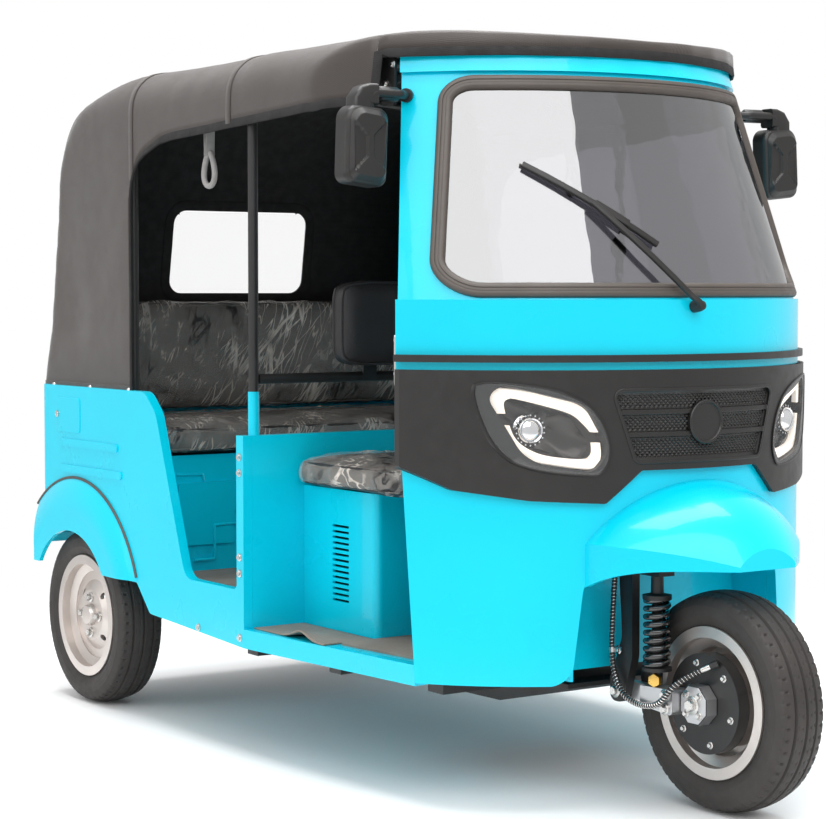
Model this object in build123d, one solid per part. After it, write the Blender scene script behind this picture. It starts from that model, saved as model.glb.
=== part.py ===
from build123d import *
import math
import os
from collections import namedtuple

# Sizes in millimetres. The nose points to -Y, +X is the vehicle's left, and the origin
# lies on the ground midway between the axles.
WHEELBASE = 2000.0
WHEEL_INSET = 82.0
TYRE_D = 494.0
TYRE_W = 138.0
SEAT_R = 151.0
FLANGE_R = 170.0
GAP = 0.3

# Rear body tub
BODY_W = 1250.0
OVERHANG = 235.0
WALL = 25.0
BELT_Z = 893.0
TUB_Z = 380.0
CORNER_R = 35.0
ARCH_R = 300.0
STEP_Z = 420.0
DOOR_BACK = 372.0
FLARE = 24.0
FLARE_T = 12.0

# Front shell: in plan an arc that is given by its width and depth
NOSE_SETBACK = 95.0
NOSE_INSET = 23.0
NOSE_DEPTH = 342.6
NOSE_WALL = 28.0
COWL_Z = 285.0
SEAM_Z = 1010.0
SCREEN_Z = 1140.0
SCREEN_STEP = 10.0
HEAD_Z = 1690.0
HEAD_SETBACK = 213.0
HEAD_TAPER = 112.7
PILLAR_LEAN = 138.8
PILLAR_FOOT = 37.0
PILLAR_HEAD = 45.0
SCREEN_CORNER = 75.0
EDGE_RAKE = 40.0
MASK_T = 14.0
LAMP_INSET = 240.0
LAMP_Z = 855.0
LAMP_DEPTH = 40.0
DISC_R = 50.0

# Floors, partition and sills
FLOOR_Z = 325.0
FLOOR_T = 20.0
CABIN_Z = 395.0
MAT_T = 5.0
PARTITION_Y = 72.0
PARTITION_T = 28.0
PARTITION_DROP = 90.0
SILL_H = 47.0
SILL_W = 35.0
SILL_GAP = 3.0
WELL_X = 300.0
WELL_DEPTH = 223.0
WELL_Z = 620.0
WELL_T = 8.0

# Canopy and the tubes that carry it
CANOPY_T = 10.0
HEM_LAP = 13.0
HEM_OUT = 10.8
ROOF_RISE = 95.0
QUARTER_Y = 690.0
WINDOW_X = 236.0
WINDOW_H = 237.0
WINDOW_UP = 264.0
POLE_INSET = 39.0
POLE_R = 12.5
SOCKET_H = 108.0

# Seats
BENCH_X = 450.0
BENCH_Y = -255.0
BENCH_Z = 675.0
BENCH_LAP = 175.0
SHEET = 8.0
CUSHION_T = 75.0
BACKREST_X = 392.0
BACKREST_H = 244.0
SEAT_Y = 640.0
SEAT_Z = 715.0
SEAT_BACK_H = 340.0

# Chassis
RAIL_INSET = 213.0
RAIL_W = 40.0
RAIL_H = 50.0
MEMBER_W = 50.0
TRAY_X = 200.0
TRAY_H = 79.0
NECK_SETBACK = 410.0
NECK_W = 60.0
TOW_R = 12.5
TOW_T = 12.0
PLATE_X = 80.0
PLATE_Z = 560.0
PLATE_HOLE = 3.5

# Steering and front wheel
RAKE = 22.0
TRAIL = 45.0
STEM_R = 20.0
STEM_TOP = 1000.0
SPINDLE_R = 12.0
HUB_R = 43.0
BRAKE_R = 112.0
ARM_BACK = 240.0
ARM_X = -105.0
SHOCK_BACK = 120.0
YOKE_RISE = 28.0
YOKE_H = 40.0
COILS = 8
MIRROR_DROP = 88.0

FRONT_Y = -WHEELBASE / 2
REAR_Y = WHEELBASE / 2
AXLE_Z = TYRE_D / 2
HALF_W = BODY_W / 2
TRACK_X = HALF_W - WHEEL_INSET
BACK_Y = REAR_Y + OVERHANG
NOSE_X = HALF_W - NOSE_INSET
NOSE_Y = FRONT_Y + NOSE_SETBACK
EDGE_Y = NOSE_Y + NOSE_DEPTH
EDGE_LOW_Y = EDGE_Y - EDGE_RAKE
WELL_Y = NOSE_Y + WELL_DEPTH
LAMP_X = NOSE_X - LAMP_INSET
GRILLE_X = LAMP_X - 126.0
PARTITION_Z = BELT_Z - PARTITION_DROP
SILL_Z = FLOOR_Z - SILL_H
FLOOR_LOW = FLOOR_Z - FLOOR_T
RAIL_X = TRACK_X - RAIL_INSET
RAIL_Z = FLOOR_LOW - RAIL_H
KICK = TUB_Z - 3.0 - FLOOR_LOW
HIGH_RAIL_Z = RAIL_Z + KICK
NECK_Y = FRONT_Y + NECK_SETBACK
STEER_Y = FRONT_Y - TRAIL
SLOPE = math.tan(math.radians(RAKE))
ARM_Y = FRONT_Y + ARM_BACK
SHOCK_Y = FRONT_Y + SHOCK_BACK
YOKE_Z = TYRE_D + YOKE_RISE
ROOF_Z = HEAD_Z + ROOF_RISE
HEM_Z = BELT_Z - HEM_LAP
POLE_X = HALF_W - POLE_INSET
POLE_Y = PARTITION_Y + PARTITION_T / 2
POLE_Z = PARTITION_Z + SOCKET_H
HOOP_Z = ROOF_Z - 140.0
RAIL_TOP = HOOP_Z - 41.0
CROSSBAR_Z = PARTITION_Z + 139.0
MIRROR_Z = HEAD_Z - MIRROR_DROP
WIDE = 2 * HALF_W
TALL = 2 * ROOF_Z

Level = namedtuple("Level", "half front edge")
NOSE = Level(half=NOSE_X, front=NOSE_Y, edge=EDGE_Y)
FOOT = Level(half=NOSE_X - SCREEN_STEP, front=NOSE_Y + SCREEN_STEP, edge=EDGE_Y + SCREEN_STEP / 2)
HEAD = Level(half=NOSE_X - HEAD_TAPER, front=NOSE_Y + HEAD_SETBACK, edge=EDGE_Y + PILLAR_LEAN)
Bow = namedtuple("Bow", "radius centre angle")


def block(x, y, z):
    """Box between a pair of limits on each axis."""
    spans = [sorted(span) for span in (x, y, z)]
    middle = [(low + high) / 2 for low, high in spans]
    return Pos(*middle) * Box(*[high - low for low, high in spans])


def outline(corners):
    """Face inside corners given as (u, v, corner radius)."""
    cuts = []
    for index, (u, v, radius) in enumerate(corners):
        here = Vector(u, v)
        back = (Vector(*corners[index - 1][:2]) - here).normalized()
        ahead = (Vector(*corners[(index + 1) % len(corners)][:2]) - here).normalized()
        half = math.radians(back.get_angle(ahead)) / 2
        step = radius / math.tan(half)
        bulge = (back + ahead).normalized() * (radius / math.sin(half) - radius)
        cuts.append((here + back * step, here + bulge, here + ahead * step))
    edges = []
    for index, (start, middle, end) in enumerate(cuts):
        if corners[index][2] > 0:
            edges.append(ThreePointArc(start, middle, end))
        after = cuts[(index + 1) % len(cuts)][0]
        if (after - end).length > 1e-6:
            edges.append(Line(end, after))
    return make_face(edges)


def from_side(face, x):
    """Prism across X from a face drawn in (y, z)."""
    return extrude(Plane.YZ.offset(x[0]) * face, x[1] - x[0])


def from_front(face, y):
    """Prism along Y from a face drawn in (x, z)."""
    return extrude(Plane.XZ.offset(-y[1]) * face, y[1] - y[0])


def from_above(face, z):
    """Prism along Z from a face drawn in (x, y)."""
    return extrude(Plane.XY.offset(z[0]) * face, z[1] - z[0])


def both_sides(shape):
    """A shape and its mirror image across the vehicle's middle."""
    return [shape, mirror(shape, Plane.YZ)]


def rod(start, end, radius):
    """Round bar between two points."""
    axis = Vector(*end) - Vector(*start)
    place = Plane(origin=start, z_dir=axis)
    return extrude(place * Circle(radius), axis.length)


def tube(points, bend, radius):
    """Round bar along a path of points with rounded bends."""
    path = FilletPolyline(*points, radius=bend)
    start = Plane(origin=path @ 0, z_dir=path % 0)
    return sweep(start * Circle(radius), path)


def spun(face, place):
    """Solid of revolution about X through a point, from a face drawn in (x, radius)."""
    plane = Plane(origin=place, x_dir=(1, 0, 0), z_dir=(0, -1, 0))
    return revolve(plane * face, Axis(place, (1, 0, 0)), 360)


def bow_of(level):
    """Arc through the nose and the two rear edges of a level."""
    depth = level.edge - level.front
    radius = (level.half ** 2 + depth ** 2) / (2 * depth)
    centre = level.front + radius
    return Bow(radius, centre, math.atan2(level.half, centre - level.edge))


def sector(bow, out, depth):
    """Ring sector in plan behind a bow, its outer face `out` beyond it."""
    radii = (bow.radius + out, bow.radius + out - depth)
    corner = [(r * math.sin(bow.angle), bow.centre - r * math.cos(bow.angle)) for r in radii]
    front = ThreePointArc((-corner[0][0], corner[0][1]), (0, bow.centre - radii[0]), corner[0])
    back = ThreePointArc(corner[1], (0, bow.centre - radii[1]), (-corner[1][0], corner[1][1]))
    sides = [Line(front @ 1, back @ 0), Line(back @ 1, front @ 0)]
    return make_face([front, sides[0], back, sides[1]])


def nose_layer(out, depth, z):
    """Upright layer of the nose, its outer face `out` beyond the panel's face."""
    return from_above(sector(bow_of(NOSE), out, depth), z)


def nose_round(out, z):
    """Round column that follows the nose's face, `out` beyond it."""
    bow = bow_of(NOSE)
    return from_above(Pos(0, bow.centre) * Circle(bow.radius + out), z)


def nose_y(x):
    """Y of the nose's face at a distance from the middle."""
    bow = bow_of(NOSE)
    return bow.centre - math.sqrt(bow.radius ** 2 - x ** 2)


def nose_x(y):
    """Half width of the nose's face at a place along Y."""
    bow = bow_of(NOSE)
    return math.sqrt(bow.radius ** 2 - (y - bow.centre) ** 2)


def level_at(z):
    """Level of the leaning windscreen panel at a height."""
    part = (z - SCREEN_Z) / (HEAD_Z - SCREEN_Z)
    return Level(*[low + (high - low) * part for low, high in zip(FOOT, HEAD)])


def screen_layer(out, depth):
    """Leaning layer of the windscreen panel from its foot to its head."""
    faces = []
    for level, z in ((FOOT, SCREEN_Z), (HEAD, HEAD_Z)):
        faces.append(Plane.XY.offset(z) * sector(bow_of(level), out, depth))
    return loft(faces)


def screen_prism(inset):
    """Windscreen outline, drawn in by `inset`, carried back through the front shell."""
    foot, head = SCREEN_Z + 3, HEAD_Z - 44
    low = level_at(foot).half - PILLAR_FOOT - inset
    top = level_at(head).half - PILLAR_HEAD - inset
    radius = SCREEN_CORNER - inset
    corners = [(-low, foot + inset), (low, foot + inset), (top, head - inset), (-top, head - inset)]
    face = outline([(u, v, radius) for u, v in corners])
    return from_front(face, (NOSE_Y - 60, HEAD.edge + 170))


def rear_wedge():
    """Space behind the sloping rear edge of the lower front shell."""
    face = outline([(EDGE_Y, SEAM_Z, 0), (EDGE_Y + 200, SEAM_Z, 0), (EDGE_Y + 200, COWL_Z - 1, 0),
                    (EDGE_LOW_Y, COWL_Z - 1, 0)])
    return from_side(face, (-WIDE, WIDE))


def wheel_opening():
    """Front wheel opening of the lower front shell."""
    wide, top = WELL_X + 16, WELL_Z + 70
    half = [(wide + 64, COWL_Z - 30, 0), (wide + 64, COWL_Z - 1, 0), (wide - 2, COWL_Z - 1, 55),
            (wide - 26, top - 190, 60), (wide - 90, top - 50, 60), (wide - 196, top, 60)]
    other = [(-u, v, r) for u, v, r in reversed(half)]
    return from_front(outline(half + other), (NOSE_Y - 60, NOSE_Y + 260))


def cowl_lower():
    shell = nose_layer(0, NOSE_WALL, (COWL_Z, SEAM_Z - GAP))
    shell = shell - rear_wedge() - wheel_opening()
    for side in (1, -1):
        shell -= lamp_prism(0, side)
    return shell


def cowl_upper():
    skirt = nose_layer(0, NOSE_WALL, (SEAM_Z, SCREEN_Z))
    return skirt + screen_layer(0, NOSE_WALL) - screen_prism(12)


def cowl_trim():
    return nose_layer(12, 12 - GAP, (SEAM_Z - 8, SEAM_Z + 8))


def windscreen_glass():
    return screen_layer(-1, 6) & screen_prism(24)


def windscreen_seal():
    lip = screen_layer(12, 12 - GAP) & (screen_prism(0) - screen_prism(36))
    core = screen_layer(1, 21) & (screen_prism(12 + GAP) - screen_prism(24 - GAP))
    return lip + core


def roof_visor():
    apron = screen_layer(11, 11 - GAP) & block((-WIDE, WIDE), (-TALL, TALL), (HEAD_Z - 34, HEAD_Z))
    ring = from_above(sector(bow_of(HEAD), 11, 11 - GAP), (HEAD_Z, HEAD_Z + 10))
    cap = from_above(sector(bow_of(HEAD), 4, 74), (HEAD_Z + GAP, HEAD_Z + 10))
    return apron + ring + cap


# Corners of a lamp about its middle: outwards, up, corner radius
Corner = namedtuple("Corner", "out up radius")
LAMP = [
    Corner(out=123.0, up=83.0, radius=28.0),
    Corner(out=85.0, up=98.0, radius=24.0),
    Corner(out=-70.0, up=55.0, radius=62.0),
    Corner(out=-122.0, up=-47.0, radius=48.0),
    Corner(out=-85.0, up=-97.0, radius=30.0),
    Corner(out=50.0, up=-72.0, radius=80.0),
]
# Lower edge of the mask from the notch outwards, about the lamp's middle
MASK = [
    Corner(out=-192.0, up=-93.0, radius=12.0),
    Corner(out=-110.0, up=-165.0, radius=12.0),
    Corner(out=41.0, up=-157.0, radius=40.0),
    Corner(out=168.0, up=-135.0, radius=30.0),
]


def lamp_prism(inset, side):
    """Lamp outline, drawn in by `inset`, carried through the nose on one side."""
    drawn = []
    for corner in LAMP:
        keep = 1 - inset / math.hypot(corner.out, corner.up)
        drawn.append((side * (LAMP_X + corner.out * keep), LAMP_Z + corner.up * keep, corner.radius))
    return from_front(outline(drawn), (NOSE_Y - 60, EDGE_Y))


def mask_prism():
    top, edge = LAMP_Z + 130, NOSE_X + 4
    half = [(LAMP_X + c.out, LAMP_Z + c.up, c.radius) for c in MASK]
    half += [(edge, LAMP_Z - 87, 8), (edge, top, 0)]
    other = [(-u, v, r) for u, v, r in reversed(half)]
    return from_front(outline(half + other), (NOSE_Y - 60, EDGE_Y + 60))


def grille_prism(inset):
    low, top = GRILLE_X - 54 - inset, GRILLE_X - inset
    foot, head = LAMP_Z - 73 + inset, LAMP_Z + 83 - inset
    face = outline([(-low, foot, 16), (low, foot, 16), (top, head, 16), (-top, head, 16)])
    return from_front(face, (NOSE_Y - 60, NOSE_Y + 200))


def front_mask():
    layer = nose_layer(MASK_T, MASK_T - GAP, (LAMP_Z - 180, LAMP_Z + 135)) & mask_prism()
    return layer - grille_prism(0) - lamp_prism(0, 1) - lamp_prism(0, -1)


def front_grille():
    """Recessed grille panel with two bars and a blank round boss."""
    panel = nose_layer(5, 5 - GAP, (LAMP_Z - 85, LAMP_Z + 95)) & grille_prism(GAP)
    for up in (-14, 36):
        panel += nose_layer(MASK_T - 1, 10, (LAMP_Z + up - 5, LAMP_Z + up + 5)) & grille_prism(GAP)
    boss = rod((0, NOSE_Y + 30, LAMP_Z + 11), (0, NOSE_Y - 30, LAMP_Z + 11), DISC_R)
    return panel + (boss & nose_layer(MASK_T + 2, MASK_T + 2 - GAP, (LAMP_Z - 60, LAMP_Z + 80)))


def headlamp(side):
    """Lamp bucket with a rim, a light guide round the bowl and a round lens."""
    z = (LAMP_Z - 110, LAMP_Z + 110)
    bucket = nose_layer(12, 12 + LAMP_DEPTH, z) & lamp_prism(GAP, side)
    bucket -= nose_layer(13, 21, z) & lamp_prism(9, side)
    bucket -= nose_layer(13, 41, z) & lamp_prism(30, side)
    x, lens = side * (LAMP_X + 12), 26
    face = nose_y(x)
    return bucket + rod((x, face + LAMP_DEPTH - 8, LAMP_Z), (x, face + 4, LAMP_Z), lens)


def headlamps():
    return [headlamp(side) for side in (1, -1)]


# Fender sections from the nose forwards: distance ahead of the axle, half width and heights
Rib = namedtuple("Rib", "ahead half low side crown")
FENDER = [
    Rib(ahead=-40.0, half=242.0, low=544.0, side=598.0, crown=722.0),
    Rib(ahead=50.0, half=164.0, low=552.0, side=584.0, crown=680.0),
    Rib(ahead=122.0, half=82.0, low=552.0, side=562.0, crown=598.0),
]
FENDER_X = 287.0
FENDER_T = 12.0


def fender_solid(inset):
    """Fender body from upright sections, each a bottom line, two sides and a crown arc."""
    root = Rib(ahead=FRONT_Y - nose_y(FENDER_X) - 8, half=FENDER_X, low=500.0, side=600.0, crown=752.0)
    faces = []
    for rib in [root, *FENDER]:
        y = FRONT_Y - rib.ahead + (inset if rib is FENDER[-1] else 0)
        half, side, crown = rib.half - inset, rib.side - inset / 2, rib.crown - inset
        low = rib.low - (1 if inset else 0)
        arc = ThreePointArc((half, side), (0, crown), (-half, side))
        rest = Polyline((-half, side), (-half, low), (half, low), (half, side))
        faces.append(Plane.XZ.offset(-y) * make_face([arc, *rest.edges()]))
    return loft(faces)


def front_fender():
    return fender_solid(0) - fender_solid(FENDER_T) - nose_round(GAP, (400, 800))


def wheel_well():
    room = (COWL_Z + 5, WELL_Z)
    outer = block((-WELL_X, WELL_X), (NOSE_Y, WELL_Y), room)
    inner = block((-WELL_X + WELL_T, WELL_X - WELL_T), (NOSE_Y - 5, WELL_Y - WELL_T),
                  (COWL_Z, WELL_Z - WELL_T))
    hole = Pos(*steer_point(WELL_Z)) * Cylinder(2.4 * STEM_R, 60)
    return ((outer - inner) & nose_round(-NOSE_WALL - GAP, room)) - hole


def steer_point(z):
    """Point of the steering axis at a height."""
    return (0, STEER_Y + SLOPE * z, z)


def steering_head():
    """Neck plate from the front cross member with the tube that holds the fork's stem."""
    foot = NECK_W / 2
    low, top = YOKE_Z + 168, YOKE_Z + 278
    neck = outline([(steer_point(low)[1], low, 0), (NECK_Y - foot, low, 0), (NECK_Y - foot, FLOOR_LOW + GAP, 0),
                    (NECK_Y + foot, FLOOR_LOW + GAP, 0), (NECK_Y + foot, top - 20, 40),
                    (steer_point(top)[1], top, 0)])
    head = from_side(neck, (-30, 30)) + rod(steer_point(low - 40), steer_point(top + 50), STEM_R + 14)
    return head - rod(steer_point(low - 90), steer_point(top + 100), STEM_R + GAP)


def chassis_rails():
    low, top, rise = RAIL_Z, FLOOR_LOW, 140
    start, kick, end = NECK_Y + NECK_W / 2 + GAP, SEAT_Y - 70, BACK_Y + 2 - GAP
    side = [(start, low, 0), (kick, low, 0), (kick + rise, low + KICK, 0), (end, low + KICK, 0),
            (end, top + KICK, 0), (kick + rise - 10, top + KICK, 0), (kick - 10, top, 0), (start, top, 0)]
    rail = from_side(outline(side), (-RAIL_X - RAIL_W / 2, -RAIL_X + RAIL_W / 2))
    for y in (REAR_Y - 290, REAR_Y + 210):
        rail += block((-RAIL_X - 102, -RAIL_X - RAIL_W / 2 + 1), (y - 20, y + 20),
                      (HIGH_RAIL_Z + 18, HIGH_RAIL_Z + 48))
    return both_sides(rail)


def cross_members():
    """Front member, two rows of outriggers, two bearers under the cabin floor and a belly tray."""
    inner, outer = RAIL_X - RAIL_W / 2 - GAP, RAIL_X + RAIL_W / 2 + GAP
    front = nose_x(NECK_Y - NECK_W / 2) - NOSE_WALL - 24
    z = (RAIL_Z, FLOOR_LOW)
    members = [block((-front, front), (NECK_Y - NECK_W / 2, NECK_Y + NECK_W / 2), z)]
    for y, reach in ((BENCH_Y - 15, HALF_W - 65), (PARTITION_Y, HALF_W - 40)):
        for x in ((-reach, -outer), (-inner, inner), (outer, reach)):
            members.append(block(x, (y, y + MEMBER_W), z))
    reach = HALF_W - 65
    for y in (PARTITION_Y + 88, SEAT_Y - 160):
        members.append(block((-reach, reach), (y, y + MEMBER_W), (FLOOR_LOW + GAP, CABIN_Z - FLOOR_T)))
    top, low = RAIL_Z - GAP, RAIL_Z - TRAY_H
    tray = outline([(BENCH_Y + 135, top, 0), (BENCH_Y + 135, low, 10), (NECK_Y + 175, low + 3, 40),
                    (NECK_Y - 56, top - 21, 30), (WELL_Y + 6, top - 10, 0), (WELL_Y + 6, top, 0)])
    return members + [from_side(tray, (-TRAY_X, TRAY_X))]


def tow_bar():
    inner = RAIL_X - RAIL_W / 2 - GAP
    member = block((-inner, inner), (BACK_Y - 91, BACK_Y - 41), (HIGH_RAIL_Z, HIGH_RAIL_Z + RAIL_H))
    plate = block((-35, 35), (BACK_Y - 90, BACK_Y + 5), (HIGH_RAIL_Z - TOW_T, HIGH_RAIL_Z))
    return member + plate - Pos(0, BACK_Y - 25, HIGH_RAIL_Z) * Cylinder(TOW_R, 60)


def floor_pan():
    """Front floor behind the wheel well and rear floor of the cabin."""
    back = HALF_W - SILL_W - 2 * GAP
    front = nose_x(EDGE_LOW_Y) - SILL_W
    tip = nose_x(WELL_Y) - SILL_W
    wide = [(-back, PARTITION_Y - GAP, 0), (-front, EDGE_LOW_Y, 0), (-tip, WELL_Y + GAP, 0)]
    other = [(-u, v, r) for u, v, r in reversed(wide)]
    plate = from_above(outline(wide + other), (FLOOR_LOW + GAP, FLOOR_Z))
    limit = nose_round(-NOSE_WALL - GAP, (SILL_Z, CABIN_Z))
    limit += block((-WIDE, WIDE), (EDGE_LOW_Y + 100, PARTITION_Y), (SILL_Z, CABIN_Z))
    plate = plate & limit
    hole = NECK_W / 2 + 1
    plate -= block((-31, 31), (NECK_Y - hole, NECK_Y + hole), (SILL_Z, CABIN_Z))
    edge = HALF_W - WALL - GAP
    cabin = block((-edge, edge), (PARTITION_Y + PARTITION_T + GAP, SEAT_Y + 20),
                  (CABIN_Z - FLOOR_T + GAP, CABIN_Z))
    return [plate, cabin]


def floor_mats():
    foot, front, edge = BENCH_Y - 3, NECK_Y + 10, HALF_W - SILL_W - 30
    face = outline([(-edge, foot, 20), (-edge + 30, front, 20), (edge - 30, front, 20), (edge, foot, 20)])
    mat = from_above(face, (FLOOR_Z + GAP, FLOOR_Z + MAT_T))
    mat -= block((-40, 40), (NECK_Y - 50, NECK_Y + 50), (FLOOR_Z, FLOOR_Z + 2 * MAT_T))
    rear = block((-HALF_W + 55, HALF_W - 55), (PARTITION_Y + PARTITION_T + 10, SEAT_Y - 10),
                 (CABIN_Z + GAP, CABIN_Z + MAT_T))
    return [mat, rear]


def sills():
    front, start = nose_x(EDGE_LOW_Y) - 1, EDGE_LOW_Y + SILL_GAP
    face = outline([(-front, start, 0), (-HALF_W, PARTITION_Y - GAP, 0),
                    (-HALF_W + SILL_W, PARTITION_Y - GAP, 0), (-front + SILL_W - 3, start, 0)])
    return both_sides(from_above(face, (SILL_Z, FLOOR_Z)))


def partition():
    """Partition with the sockets of the two poles on its top edge."""
    edge = HALF_W - WALL - GAP
    plate = block((-edge, edge), (PARTITION_Y, PARTITION_Y + PARTITION_T), (FLOOR_LOW + GAP, PARTITION_Z))
    for x in (-POLE_X, POLE_X):
        plate += rod((x, POLE_Y, PARTITION_Z - 1), (x, POLE_Y, POLE_Z), POLE_R + 1.5)
    return plate


def tub_side():
    """Side view of the rear tub with the passenger doorway."""
    post = PARTITION_Y + 34
    return outline([(PARTITION_Y, SILL_Z, 0), (PARTITION_Y, PARTITION_Z, 0), (post, PARTITION_Z, 0),
                    (post, STEP_Z, 15), (DOOR_BACK, STEP_Z, 50), (DOOR_BACK + 156, BELT_Z - 55, 60),
                    (DOOR_BACK + 218, BELT_Z, 60), (BACK_Y, BELT_Z, 0), (BACK_Y, TUB_Z, 0),
                    (SEAT_Y, TUB_Z, 10), (SEAT_Y - 74, SILL_Z + 27, 20)])


def tub_plan(inset):
    edge, back = HALF_W - inset, BACK_Y - inset
    radius, front = CORNER_R - inset, PARTITION_Y - inset
    return outline([(-edge, front, 0), (edge, front, 0), (edge, back, radius), (-edge, back, radius)])


def tub_ring():
    ring = from_above(tub_plan(0), (SILL_Z, BELT_Z)) - from_above(tub_plan(WALL), (0, TALL))
    return ring & from_side(tub_side(), (-WIDE, WIDE))


# Pressed ribs of a side panel: start and end along Y from the rear axle, drop below the belt
Swage = namedtuple("Swage", "start end drop")
SWAGES = [Swage(start=-255.0, end=100.0, drop=160.0), Swage(start=-278.0, end=100.0, drop=233.0)]
SWAGE_H = 22.0
SWAGE_T = 4.0


def side_panels():
    edge = BACK_Y - CORNER_R - 20 - GAP
    side = tub_ring() & block((-WIDE, 0), (0, edge), (0, TALL))
    side -= rod((-WIDE, REAR_Y, AXLE_Z), (0, REAR_Y, AXLE_Z), ARCH_R)
    for swage in SWAGES:
        middle = Pos(REAR_Y + (swage.start + swage.end) / 2, BELT_Z - swage.drop)
        rib = middle * SlotOverall(swage.end - swage.start, SWAGE_H)
        side += from_side(rib, (-HALF_W - SWAGE_T, -HALF_W + 1))
    inner = -TRACK_X + TYRE_W / 2 + 29
    liner = spun(outline([(-HALF_W, ARCH_R, 0), (inner, ARCH_R, 0), (inner, ARCH_R + 6, 0),
                          (-HALF_W, ARCH_R + 6, 0)]), (0, REAR_Y, AXLE_Z))
    return both_sides(side + (liner & block((-WIDE, 0), (0, edge), (TUB_Z, TALL))))


def back_panel():
    edge = BACK_Y - CORNER_R - 20
    panel = tub_ring() & block((-WIDE, WIDE), (edge, BACK_Y + 1), (0, TALL))
    inner = TRACK_X - TYRE_W / 2 - 34
    for x in (-1, 1):
        panel -= rod((x * inner, REAR_Y, AXLE_Z), (x * WIDE, REAR_Y, AXLE_Z), ARCH_R)
    for x in (-PLATE_X, PLATE_X):
        panel -= rod((x, BACK_Y - 60, PLATE_Z), (x, BACK_Y + 10, PLATE_Z), PLATE_HOLE)
    return panel


def rear_fenders():
    """Flared arches: a curved flare that ends in an upright skirt beside the tyre."""
    face = -HALF_W - GAP
    lip, inside = face - FLARE, face - FLARE + FLARE_T
    top, bend, foot = ARCH_R + 92, ARCH_R - 10, ARCH_R - 58
    edges = [ThreePointArc((face, top), (face - 18, ARCH_R + 50), (lip, bend)),
             Line((lip, bend), (lip, foot)), Line((lip, foot), (inside, foot)),
             Line((inside, foot), (inside, bend)),
             ThreePointArc((inside, bend), (face - 8, ARCH_R + 30), (face, top - 26)),
             Line((face, top - 26), (face, top))]
    ring = spun(make_face(edges), (0, REAR_Y, AXLE_Z))
    return both_sides(ring & block((-WIDE, 0), (0, BACK_Y - 1), (TUB_Z + 4, TALL)))


# Canopy bends: distance in from the side or the back, and drop below the roof
Bend = namedtuple("Bend", "inset drop")
EAVE = [Bend(22.0, 150.0), Bend(46.0, 76.0), Bend(116.0, 38.0)]
TAIL = [Bend(95.0, 330.0), Bend(154.0, 200.0), Bend(271.0, 118.0)]


def canopy_section(inset):
    wide, top = HALF_W + HEM_OUT - inset, ROOF_Z - inset
    right = [(wide, HEM_Z)] + [(wide - bend.inset, top - bend.drop) for bend in EAVE]
    left = [(-u, v) for u, v in right]
    edges = [Line(left[0], right[0]), Line(right[0], right[1]),
             ThreePointArc(right[1], right[2], right[3]),
             ThreePointArc(right[3], (0, top), left[3]),
             ThreePointArc(left[3], left[2], left[1]), Line(left[1], left[0])]
    return make_face(edges)


def canopy_profile(inset):
    """Side view of the canopy: a back that leans forwards, a long roof and a drop to the brow."""
    back, top = BACK_Y + HEM_OUT - inset, ROOF_Z - inset
    tail = [(back, HEM_Z)] + [(back - bend.inset, top - bend.drop) for bend in TAIL]
    crown, brow = POLE_Y + 214, HEAD.front
    reach, drop = tail[3][0] - crown, TAIL[2].drop
    swell = (reach ** 2 + drop ** 2) / (2 * drop)
    half = top - swell + math.sqrt(swell ** 2 - reach ** 2 / 4)
    roof = [(crown + reach / 2, half), (crown, top), ((crown + brow) / 2, top - 12), (brow, top - 48)]
    end, lap = brow - 110, (back, BELT_Z + 7)
    edges = [Line(tail[0], lap), Line(lap, tail[1]), ThreePointArc(tail[1], tail[2], tail[3]),
             ThreePointArc(tail[3], roof[0], roof[1]), ThreePointArc(roof[1], roof[2], roof[3]),
             Line(roof[3], (end, top - 62)), Line((end, top - 62), (end, HEM_Z)),
             Line((end, HEM_Z), tail[0])]
    return make_face(edges)


def canopy_plan(inset):
    edge, back = HALF_W + HEM_OUT - inset, BACK_Y + HEM_OUT - inset
    radius, nose = CORNER_R + HEM_OUT - inset, HEAD.front - 18 + inset
    side_y, brow_x, brow_y = HEAD.edge + 224, HEAD.half + 60 - inset, HEAD.edge + 54
    rear = outline([(edge, side_y, 0), (edge, back, radius), (-edge, back, radius), (-edge, side_y, 0),
                    (-brow_x, brow_y, 0), (brow_x, brow_y, 0)])
    front = ThreePointArc((brow_x, brow_y), (0, nose), (-brow_x, brow_y))
    return rear + make_face([front, Line(front @ 1, front @ 0)])


def canopy_solid(inset):
    body = from_side(canopy_profile(inset), (-WIDE, WIDE))
    body = body & from_front(canopy_section(inset), (HEAD.front - 210, BACK_Y + 100))
    return body & from_above(canopy_plan(inset), (HEM_Z - (1 if inset else 0), ROOF_Z + 10))


def canopy_opening():
    """Side opening of the canopy, drawn in (y, z)."""
    front, low, brow = HEAD.front - 210, HEM_Z - 10, HEAD_Z + 12
    face = outline([(QUARTER_Y, low, 0), (QUARTER_Y, ROOF_Z - 285, 130), (QUARTER_Y - 170, ROOF_Z - 225, 60),
                    (HEAD.edge + 34, ROOF_Z - 188, 20), (HEAD.edge + 30, brow, 0), (front, brow, 0),
                    (front, low, 0)])
    return from_side(face, (-WIDE, WIDE))


def rear_window_prism(inset):
    low, wide = BELT_Z + WINDOW_UP + inset, WINDOW_X - inset
    high = BELT_Z + WINDOW_UP + WINDOW_H - inset
    face = outline([(-wide, low, 40), (wide, low, 40), (wide, high, 40), (-wide, high, 40)])
    return from_front(face, (BACK_Y - 100, BACK_Y + 60))


def canopy_shell():
    return canopy_solid(0) - canopy_solid(CANOPY_T) - canopy_opening() - rear_window_prism(0)


def rear_window():
    return (canopy_solid(3) - canopy_solid(7)) & rear_window_prism(GAP)


def canopy_roof(shell):
    return shell & block((-WIDE, WIDE), (-TALL, QUARTER_Y - GAP), (0, TALL))


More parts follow.
